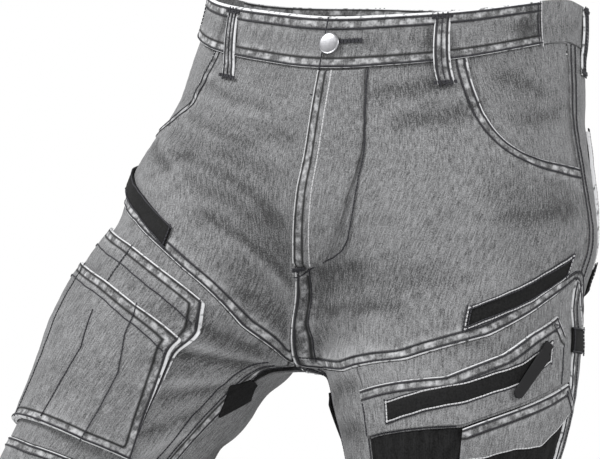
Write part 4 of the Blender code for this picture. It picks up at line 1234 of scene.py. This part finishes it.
@dataclass
class Hips:
    """Front and back hip panels, pocket facings, fly, back pockets and webbing."""

    def build(self, tailor: Tailor) -> None:
        """Sews everything between the waistband and the yoke seams."""
        for side in Side:
            self._marks(tailor, side)
            self._panels(tailor, side)
            self._stitches(tailor, side)
        self._fly(tailor)
        self._webbing(tailor)

    @staticmethod
    def _marks(tailor: Tailor, side: Side) -> None:
        tailor.mark_edge(side, "yoke", both_ways(YOKE[side]), -0.01, 2.01, 90)
        u = scoop_turns(50)
        tailor.mark(side, "scoop", np.stack([u, scoop(u)], 1))
        tailor.mark(side, "centre_low", [(0, FLY_END + 0.004), (0, CROTCH + 0.02)])
        tailor.mark(side, "centre_back", [(2, WAISTBAND), (2, CROTCH)])
        tailor.mark(side, "side_seam", [(1, WAISTBAND), (1, HEM)])
        (start, end), top, low, point = BACK_POCKET
        outline = [(start, top), (end, top), (end, low), ((start + end) / 2, low + point), (start, low),
                   (start, top)]
        tailor.mark(side, "back_pocket", outline)

    @staticmethod
    def _panels(tailor: Tailor, side: Side) -> None:
        word = side.word
        front = ("yoke", "scoop") + (("centre_low",) if side is L else ())
        tailor.sew(Piece(f"hip_front_{word}", side, (0, 1), scoop, both_ways(YOKE[side]), laps=front,
                         scooped=True,
                         rests_on=(f"waistband_front_{word}",)))
        back = ("yoke",) + (("centre_back",) if side is R else ())
        tailor.sew(Piece(f"hip_back_{word}", side, (1, 2), level(WAISTBAND), both_ways(YOKE[side]),
                         laps=back,
                         rests_on=("waistband_back",)))
        tailor.sew(Piece(f"pocket_facing_{word}", side, (SCOOP_START + 0.004, 1), level(WAISTBAND),
                         lambda u: scoop(u) + 0.016,
                         out=-CLOTH - 0.0005, near=0.0, rests_on=(f"hip_front_{word}",)))
        turns, top, _, _ = BACK_POCKET
        tailor.sew(Piece(f"back_pocket_{word}", side, turns, level(top), pocket_point,
                         out=LIFT["back_pocket"] - 0.0004 + CLOTH,
                         wall=CLOTH + 0.0010, laps=("back_pocket",), rests_on=(f"hip_back_{word}",)))

    @staticmethod
    def _stitches(tailor: Tailor, side: Side) -> None:
        yoke = tailor.lines[side, "yoke"]
        for offset in (-0.0021, -0.0084):
            tailor.stitch(f"hips_{side.word}", side, tailor.shifted(yoke, offset)[2:-2], 0.0010)
        for offset in (0.0021, 0.0084):
            tailor.stitch(f"hips_{side.word}", side, tailor.shifted(tailor.lines[side, "scoop"], offset),
                          0.0010)
            line = tailor.shifted(tailor.lines[side, "back_pocket"][1:],
                                  0.0021 if offset < 0.005 else 0.0075)
            tailor.stitch("back_pockets", side, line, LIFT["back_pocket"] + CLOTH + 0.0005)
        top = BACK_POCKET[1] + 0.018
        tailor.stitch("back_pockets", side, [(BACK_POCKET[0][0] + 0.01, top),
                                             (BACK_POCKET[0][1] - 0.01, top)],
                                             LIFT["back_pocket"] + CLOTH + 0.0003)
        for u in (1.010, 1.040):
            tailor.stitch(f"hips_{side.word}", side,
                          [(u, WAISTBAND + 0.002), (u, float(both_ways(YOKE[side])(np.array(u))) - 0.01)],
                          0.0010)
        if side is L:
            for away in (0.0022, 0.0098):
                line = tailor.form.centre_line(away, FLY_END + 0.003, CROTCH - 0.004)
                tailor.stitch("hips_left", side, line, 0.0010)
        else:
            for away in (0.0022, 0.0086):
                line = tailor.form.centre_line(away, WAISTBAND + 0.002, CROTCH - 0.012, back=True)
                tailor.stitch("hips_right", side, line, 0.0010)

    @staticmethod
    def _fly(tailor: Tailor) -> None:
        u = np.concatenate([np.full(20, FLY_WIDTH), np.linspace(FLY_WIDTH, FLY_WIDTH - FLY_CORNER, 16),
                            [0.012]])
        s = np.concatenate([np.linspace(WAISTBAND, FLY_END - FLY_CORNER_RISE, 20), fly_end(u[20:36]),
                            [FLY_END]])
        line = np.stack([u, s], 1)
        tailor.mark(L, "fly_flap", line)
        tailor.mark(L, "centre_fly", [(0.0, WAISTBAND - 0.002), (0.0, FLY_END)])
        tailor.sew(Piece("fly_flap", L, (0.004, FLY_WIDTH - 0.01), level(WAISTBAND + 0.001), fly_end,
                         out=0.0021 + CLOTH,
                         laps=("centre_fly",), near=0.011, soft_border=0.0024, pitch=0.0017,
                         rests_on=("hip_front_left",)))
        for away, cloth, out in ((0.0006, Cloth.PALE_THREAD, 0.0040),
                                 (0.0135, Cloth.PALE_THREAD, 0.0033)):
            tailor.stitch("fly_edge", L, tailor.form.centre_line(away, WAISTBAND + 0.002,
                                                                 FLY_END - 0.004), out, cloth)
        tailor.stitch("fly", L, FLY_STITCH, 0.0008)
        for rise in (0.0, 0.0012, 0.0024):
            tailor.stitch("fly", L, [(0.060, FLY_END + 0.0035 - rise), (0.130, FLY_END + 0.0010 - rise)],
                          0.0042)
        tailor.stitch("fly", R, [(0.022, WAISTBAND + 0.002), (0.022, WAISTBAND + 0.032)], 0.0004)
        tailor.stitch("fly", R, [(0.004, WAISTBAND + 0.031), (0.050, WAISTBAND + 0.031)], 0.0004)

    @staticmethod
    def _webbing(tailor: Tailor) -> None:
        jobs = (("hip_strip_front_left", L, STRIP_LINE[L], STRIP_HALF[L]),
                ("hip_strip_front_right", R, STRIP_LINE[R], STRIP_HALF[R]),
                ("hip_strip_back_left", L, BACK_STRIP_LINE, STRIP_HALF[R]))
        for name, side, line, half in jobs:
            strip(tailor, name, side, line, half, CLOTH)
        strip(tailor, "side_tab_left", L, SIDE_TAB_LINE, 0.011, 0.0024)


def strip(tailor: Tailor, name: str, side: Side, line: Line, half: float, wall: float) -> None:
    """A strip of webbing sewn on over the panels, with an edge line all round."""
    middle = edge(line)
    out = LIFT[name] + wall
    tailor.sew(Piece(name, side, (line[0][0], line[-1][0]), lambda u: middle(u) - half,
                     lambda u: middle(u) + half,
                     Cloth.WEBBING, out, wall, near=0.0, pitch=0.0022,
                     rests_on=(f"hip_front_{side.word}",)))
    u = np.linspace(line[0][0], line[-1][0], 40)
    near = 0.0012
    for offset in (-half + near, half - near):
        tailor.stitch("webbing", side, np.stack([u, middle(u) + offset], 1), out + 0.0002)
    for end in (line[0][0] + near / GIRTH, line[-1][0] - near / GIRTH):
        tailor.stitch("webbing", side, [(end, float(middle(end)) - half),
                                        (end, float(middle(end)) + half)], out + 0.0002)
    if name == "hip_strip_front_left":
        border(tailor, side, line, half, out - 0.0006)


def border(tailor: Tailor, side: Side, line: Line, half: float, out: float) -> None:
    """A pale stitched line close round a strip, and a dark thread line a little further out that is painted
    shadow of the strip's edge.
    """
    middle = edge(line)
    start, end = line[0][0], line[-1][0]
    u = np.linspace(start, end, 50)
    # The second, dark line is painted shadow: near-black thread set lower, standing for the shadow the
    # strip's edge casts on the cloth below.
    for away, cloth, drop in ((0.0004, Cloth.PALE_THREAD, 0.0), (0.0018, Cloth.THREAD, 0.0008)):
        for way in (-1, 1):
            tailor.stitch("borders", side, np.stack([u, middle(u) + way * (half + away)], 1), out - drop,
                          cloth)
        for at, way in ((start, -1), (end, 1)):
            turn, reach = at + way * away / GIRTH, half + away
            tailor.stitch("borders", side, [(turn, float(middle(at)) - reach),
                                            (turn, float(middle(at)) + reach)], out - drop, cloth)


@dataclass
class Legs:
    """Thigh, knee, shin and back panels and the crotch gussets."""

    def build(self, tailor: Tailor) -> None:
        """Sews both legs from the yoke seams to the hems."""
        for side in Side:
            tailor.mark_edge(side, "knee", level(KNEE_SEAM), -0.02, 2.02)
            tailor.mark_edge(side, "hem", level(HEM), -0.02, 2.02)
            tailor.mark(side, "inseam", [(0, CROTCH + 0.004), (0, HEM)])
            tailor.mark(side, "inseam_back", [(2, CROTCH + 0.004), (2, HEM)])
        tailor.mark_edge(L, "stretch_top", both_ways(STRETCH_TOP), -0.01, 2.01, 80)
        tailor.mark_edge(R, "knee_top", both_ways(KNEE_TOP), -0.01, 2.01, 60)
        tailor.mark(L, "inner", [(INNER_EDGE, 0.350), (INNER_EDGE, KNEE_SEAM)])
        self._left(tailor)
        self._right(tailor)
        for side in Side:
            word = side.word
            on = "stretch_panel_left" if side is L else "knee_front_right"
            tailor.sew(Piece(f"shin_front_{word}", side, (0, 1), level(KNEE_SEAM), level(HEM),
                             laps=("knee", "hem", "inseam"), rests_on=(on,)))
            tailor.sew(Piece(f"leg_back_{word}", side, (1, 2), both_ways(YOKE[side]), level(HEM),
                             laps=("side_seam", "hem"),
                             rests_on=(f"hip_back_{word}",)))
            self._gusset(tailor, side)
            self._stitches(tailor, side)

    @staticmethod
    def _left(tailor: Tailor) -> None:
        yoke, stretch = both_ways(YOKE[L]), both_ways(STRETCH_TOP)
        tailor.sew(Piece("thigh_inner_left", L, (0, INNER_EDGE), yoke, level(KNEE_SEAM), laps=("inseam",),
                         rests_on=("hip_front_left",)))
        tailor.sew(Piece("thigh_outer_left", L, (INNER_EDGE, 1), yoke, stretch, near=0.004,
                         rests_on=("hip_front_left",)))
        tailor.sew(Piece("stretch_panel_left", L, (INNER_EDGE, 1), stretch, level(KNEE_SEAM),
                         Cloth.STRETCH, gathers=0.0007,
                         near=0.004, pitch=0.0026, rests_on=("thigh_outer_left",)))

    @staticmethod
    def _right(tailor: Tailor) -> None:
        knee = both_ways(KNEE_TOP)
        tailor.sew(Piece("thigh_front_right", R, (0, 1), both_ways(YOKE[R]), knee, laps=("inseam",),
                         rests_on=("hip_front_right",)))
        tailor.sew(Piece("knee_front_right", R, (0, 1), knee, level(KNEE_SEAM), laps=("knee_top",),
                         rests_on=("thigh_front_right",)))

    @staticmethod
    def _gusset(tailor: Tailor, side: Side) -> None:
        name = f"crotch_gusset_{side.word}"
        share = np.linspace(0.10, 0.97, 26)[:, None]
        half = GUSSET_TURN * np.minimum(share / 0.35, (1 - share) / 0.65)
        u = half * np.linspace(-1, 1, 17)
        s = CROTCH + GUSSET_DROP + share * GUSSET_LENGTH + 0 * u
        lift = LIFT[name]
        sign = side.value
        outer, inner = (tailor.form.skin(sign, np.abs(u) + np.where(u < 0, 2 - 2 * np.abs(u), 0), s,
                                         lift + CLOTH * k) for k in (1, 0))
        obj = tailor.shell(f"cloth_{name}", outer, inner, u * GIRTH, s, 0.03 + 0 * u, 0 * u,
                           Cloth.STRETCH)
        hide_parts(name)
        tailor.declare(2 * GUSSET_TURN * GIRTH, GUSSET_LENGTH, outer)

    @staticmethod
    def _stitches(tailor: Tailor, side: Side) -> None:
        group = f"legs_{side.word}"
        top = float(both_ways(YOKE[side])(np.array(1.0)))
        for u in (1.010, 1.044):
            tailor.stitch(group, side, [(u, top + 0.004), (u, 0.6), (u + 0.004, HEM - 0.002)], 0.0010)
        for u in (0.010, 0.042):
            start = 0.002 if side is L else 0.006
            tailor.stitch(group, side, [(u, CROTCH + start), (u, 0.6), (u * 1.15, HEM - 0.002)], 0.0010)
        tailor.stitch(group, side, [(0.072, CROTCH + 0.004), (0.072, 0.5)], 0.0004)
        for depth in (HEM - 0.0021, HEM - 0.0084, HEM - 0.022):
            tailor.stitch(group, side, [(0.004, depth), (1.0, depth), (1.996, depth)], 0.0010)
        for depth in (KNEE_SEAM + 0.0021, KNEE_SEAM + 0.0084):
            tailor.stitch(group, side, [(0.004, depth), (0.996, depth)], 0.0010)
        if side is R:
            for offset in (0.0021, 0.0084):
                line = tailor.shifted(tailor.lines[R, "knee_top"], offset)
                tailor.stitch(group, side, line[line[:, 0] < 0.998][1:], 0.0010)
        else:
            line = tailor.lines[L, "stretch_top"]
            tailor.stitch(group, side, line[(line[:, 0] > INNER_EDGE) & (line[:, 0] < 0.65)] - (0,
                                                                                                0.0014),
                                                                                                0.0004)
            tailor.stitch(group, side, [(INNER_EDGE - 0.006, 0.413), (INNER_EDGE - 0.006, KNEE_SEAM)],
                          0.0004)


@dataclass
class LeftPockets:
    """Zip pocket panel and its zip tape, and the pocket flap."""

    lift: float = LIFT["zip_pocket_panel"]

    def build(self, tailor: Tailor) -> None:
        """Sews the zip panel with its zip, and the flap below it."""
        top, low = edge(ZIP_PANEL_TOP), edge(ZIP_PANEL_LOW)
        start, end = ZIP_PANEL_TOP[0][0], ZIP_PANEL_TOP[-1][0]
        u = np.linspace(start, end, 60)
        top_line = np.stack([u, top(u)], 1)
        tailor.mark(L, "zip_panel_top", top_line)
        tailor.mark(L, "zip_panel_left", [(start, float(top(start))), (start, float(low(start)))])
        out = self.lift + CLOTH
        tailor.sew(Piece("zip_pocket_panel", L, (start, end), top, low, out=out, laps=("zip_panel_top",),
                         near=0.010,
                         rests_on=("thigh_outer_left",)))
        for offset in (0.0021, 0.0084):
            tailor.stitch("zip_panel", L, tailor.shifted(top_line, offset)[1:-1], out + 0.0010)
        for turn in (start + 0.006, end - 0.006):
            tailor.stitch("zip_panel", L, [(turn, float(top(turn)) + 0.003),
                                           (turn, float(low(turn)) - 0.002)], out + 0.0003)
        self._zip(tailor, out)
        self._flap(tailor)

    def _zip(self, tailor: Tailor, panel_out: float) -> None:
        middle = edge(ZIP_LINE)
        start, end = ZIP_LINE[0][0], ZIP_LINE[-1][0]
        out = panel_out + LIFT["zip_tape"] + 0.0009
        tailor.sew(Piece("zip_tape", L, (start, end), lambda u: middle(u) - ZIP_HALF,
                         lambda u: middle(u) + ZIP_HALF,
                         Cloth.WEBBING, out, 0.0012, near=0.0, pitch=0.0022,
                         rests_on=("zip_pocket_panel",)))
        border(tailor, L, ZIP_LINE, ZIP_HALF, out - 0.0004)

    @staticmethod
    def _flap(tailor: Tailor) -> None:
        top, low = edge(FLAP_TOP), edge(FLAP_LOW)
        start, end = FLAP_TOP[0][0], FLAP_TOP[-1][0]
        u = np.linspace(start, end, 50)
        upper, lower = np.stack([u, top(u)], 1), np.stack([u, low(u)], 1)
        tailor.mark(L, "flap_top", upper)
        tailor.mark(L, "flap_rest", np.concatenate([[(start, float(top(start)))], lower]))
        out = LIFT["thigh_pocket_flap"] + CLOTH
        tailor.sew(Piece("thigh_pocket_flap", L, (start, end), top, low, out=out, laps=("flap_top",),
                         near=0.0012, pitch=0.0022,
                         rests_on=("stretch_panel_left",)))
        for offset in (0.0021, 0.0078):
            tailor.stitch("flap", L, tailor.shifted(upper, offset)[1:-1], out + 0.0010)
        tailor.stitch("flap", L, tailor.shifted(lower, -0.0004), out - 0.0004, Cloth.PALE_THREAD)


@dataclass
class RightPocket:
    """Cargo pocket in two layers, with its dividers."""

    divider_one: Line = ((0.550, 0.288), (0.556, 0.306), (0.562, 0.328), (0.535, 0.360), (0.500, 0.394),
                         (0.500, 0.462))
    divider_two: Line = ((0.438, 0.344), (0.400, 0.374), (0.350, 0.406), (0.332, 0.440), (0.325, 0.472))

    def build(self, tailor: Tailor) -> None:
        """Sews both layers of the cargo pocket and its lines."""
        top, second, low = edge(CARGO_TOP), edge(CARGO_SECOND), edge(CARGO_LOW)
        low_turns = (CARGO_LOW[0][0], CARGO_LOW[-1][0])
        base = LIFT["cargo_pocket"] + CLOTH
        layers = (("cargo_pocket_back", CARGO_TOP, top, base - 0.0004, 0.021),
                  ("cargo_pocket_front", CARGO_SECOND, second, base * 2 - 0.0012, 0.015))
        for name, upper, line, out, hem in layers:
            start, end = upper[0][0], upper[-1][0]
            u = np.linspace(start, end, 70)
            edge_line = np.stack([u, line(u)], 1)
            tailor.mark(R, name, edge_line)
            front = np.stack([np.linspace(start, low_turns[0], 20),
                              np.linspace(float(line(start)), float(low(low_turns[0])), 20)], 1)
            tailor.mark(R, name + "_front", front)
            bottom = np.stack([np.linspace(*low_turns, 60), low(np.linspace(*low_turns, 60))], 1)
            tailor.mark(R, name + "_low", bottom)
            tailor.sew(Piece(name, R, (start, end), line, low, out=out, wall=CLOTH + 0.0008,
                             laps=(name, name + "_front", name + "_low"),
                             low_turns=low_turns, lap=Lap.TURNED, rests_on=("thigh_front_right",)))
            tailor.stitch("cargo", R, edge_line + (0, hem), out + 0.0004)
            tailor.stitch("cargo", R, tailor.shifted(front[::-1], 0.0022), out + 0.0007)
            if name.endswith("front"):
                tailor.stitch("cargo", R, tailor.shifted(bottom, -0.0022), out + 0.0007)
        out = base * 2 - 0.0012 + 0.0004
        second_at = float(second(0.55))
        one = np.array(self.divider_one)
        tailor.stitch("cargo", R, one[one[:, 1] <= second_at + 0.001], base + 0.0002)
        tailor.stitch("cargo", R, one[one[:, 1] >= second_at - 0.001], out)
        tailor.stitch("cargo", R, np.array(self.divider_two), out)
        tailor.stitch("cargo", R, [(0.70, 0.312), (0.70, 0.345), (0.68, 0.390), (0.67, 0.464)], out)


@dataclass
class Hardware:
    """Domed waist button."""

    radius: float = 0.0098
    height: float = 0.0038

    def build(self, tailor: Tailor) -> None:
        """Makes the button; the slider and the pull keep their solids."""
        self._button(tailor)

    @staticmethod
    def _turned(tailor: Tailor, name: str, place: Matrix, profile: Sequence[tuple[float, float]],
                cloth: Cloth, steps: int = 48) -> bpy.types.Object:
        angle = np.arange(steps) * 2 * np.pi / steps
        rings = [np.stack([r * np.cos(angle), r * np.sin(angle), np.full(steps, h)], 1) for r,
                 h in profile]
        points = np.concatenate(rings) @ np.array(place.to_3x3()).T + np.array(place.translation)
        index = np.arange(len(profile) * steps).reshape(len(profile), steps)
        quads = np.stack([index[:-1], np.roll(index, -1, 1)[:-1], np.roll(index, -1, 1)[1:], index[1:]],
                         -1).reshape(-1, 4)
        return tailor.mesh(name, points, quads, cloth, 35)

    def _button(self, tailor: Tailor) -> None:
        out = BAND_CLOTH / 2 + 0.0006
        place = tailor.form.frame_at(L, *BUTTON_AT, out, (0.9, BUTTON_AT[1]))
        r, h = self.radius, self.height
        profile = [(1e-5, 0), (0.40 * r, 0.0), (0.40 * r, 0.28 * h), (0.94 * r, 0.32 * h), (r, 0.46 * h),
                   (1.0 * r, 0.66 * h),
                   (0.965 * r, 0.84 * h), (0.925 * r, 0.90 * h), (0.88 * r, 0.86 * h),
                   (0.855 * r, 0.83 * h), (0.82 * r, 0.86 * h),
                   (0.6 * r, 0.94 * h), (0.3 * r, 0.99 * h), (1e-5, h)]
        obj = self._turned(tailor, "button", place, profile, Cloth.METAL)
        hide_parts("waist_button")


# Studio


@dataclass(frozen=True)
class Studio:
    """Camera, floor, backdrop and lights."""

    yaw: float = 28.9
    up: float = 5.9
    distance: float = 3.0
    metres_per_pixel: float = 0.0009066
    origin_pixel: tuple[float, float] = (392.3, -2.5)
    picture: tuple[float, float] = (600.0, 459.0)
    sensor: float = 36.0

    def build(self, floor_z: float) -> None:
        a, e = np.radians(self.yaw), np.radians(self.up)
        right = Vector((np.cos(a), np.sin(a), 0))
        look = Vector((-np.sin(a) * np.cos(e), np.cos(a) * np.cos(e), np.sin(e)))
        upward = right.cross(look)
        focal = self.distance / self.metres_per_pixel
        dx = (self.origin_pixel[0] - self.picture[0] / 2) / focal
        dy = -(self.origin_pixel[1] - self.picture[1] / 2) / focal
        data = bpy.data.cameras.new("camera")
        data.sensor_width, data.lens = self.sensor, focal * self.sensor / self.picture[0]
        data.clip_start, data.clip_end = 0.1, 60
        camera = bpy.data.objects.new("camera", data)
        camera.location = -self.distance * (look + dx * right + dy * upward)
        camera.rotation_mode = "QUATERNION"
        camera.rotation_quaternion = Matrix((right, upward, -look)).transposed().to_quaternion()
        bpy.context.scene.collection.objects.link(camera)
        bpy.context.scene.camera = camera
        self._room(floor_z)
        self._lights()

    @staticmethod
    def _room(floor_z: float) -> None:
        scene = bpy.context.scene
        scene.view_settings.view_transform = "Standard"
        scene.world = scene.world or bpy.data.worlds.new("studio")
        scene.world.use_nodes = True
        sky = scene.world.node_tree.nodes["Background"]
        sky.inputs["Color"].default_value = (1, 1, 1, 1)
        sky.inputs["Strength"].default_value = 1.0
        data = bpy.data.meshes.new("floor")
        data.from_pydata([(-4, -4, floor_z), (4, -4, floor_z), (4, 4, floor_z), (-4, 4, floor_z)], [],
                         [(0, 1, 2, 3)])
        floor = bpy.data.objects.new("floor", data)
        paint = bpy.data.materials.new("floor_paint")
        paint.use_nodes = True
        shader = paint.node_tree.nodes["Principled BSDF"]
        shader.inputs["Base Color"].default_value = (0.86, 0.86, 0.86, 1)
        shader.inputs["Roughness"].default_value = 0.9
        data.materials.append(paint)
        scene.collection.objects.link(floor)
        floor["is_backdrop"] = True

    @staticmethod
    def _lights() -> None:
        for name, place, power, size in (("key", (-1.5, -1.7, 2.1), 175.0, 0.7),
                                         ("side", (2.7, -0.7, 0.9), 75.0, 0.8)):
            data = bpy.data.lights.new(name, "AREA")
            data.energy, data.size = power, size
            light = bpy.data.objects.new(name, data)
            light.location = place
            light.rotation_mode = "QUATERNION"
            light.rotation_quaternion = (Vector((0, 0, -0.4)) - Vector(place)).to_track_quat("-Z", "Y")
            bpy.context.scene.collection.objects.link(light)


@dataclass
class WorkTrousers:
    """The whole garment."""

    parts: list[object] = field(default_factory=lambda: [Waist(), Hips(), Legs(), LeftPockets(),
                                                         RightPocket(), Hardware()])

    def build(self, body: str) -> None:
        wardrobe = Wardrobe()
        tailor = Tailor(TrouserForm(), wardrobe, body)
        for part in self.parts:
            part.build(tailor)
        tailor.finish_threads(StitchMaker())
        for name, cloth in (("zip_slider", Cloth.MOULDED), ("zip_pull", Cloth.MOULDED)):
            node = bpy.data.objects[name]
            node.data.materials.clear()
            node.data.materials.append(wardrobe.materials[cloth])
        log.info("about %d triangles added", tailor.triangles)


def main() -> None:
    """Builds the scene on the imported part."""
    logging.basicConfig(level=logging.INFO, format="%(message)s")
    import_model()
    before = [list(corner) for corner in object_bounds()]
    WorkTrousers().build("trousers")
    Studio().build(before[0][2] - 0.002)
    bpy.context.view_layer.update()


if __name__ == "__main__":
    main()
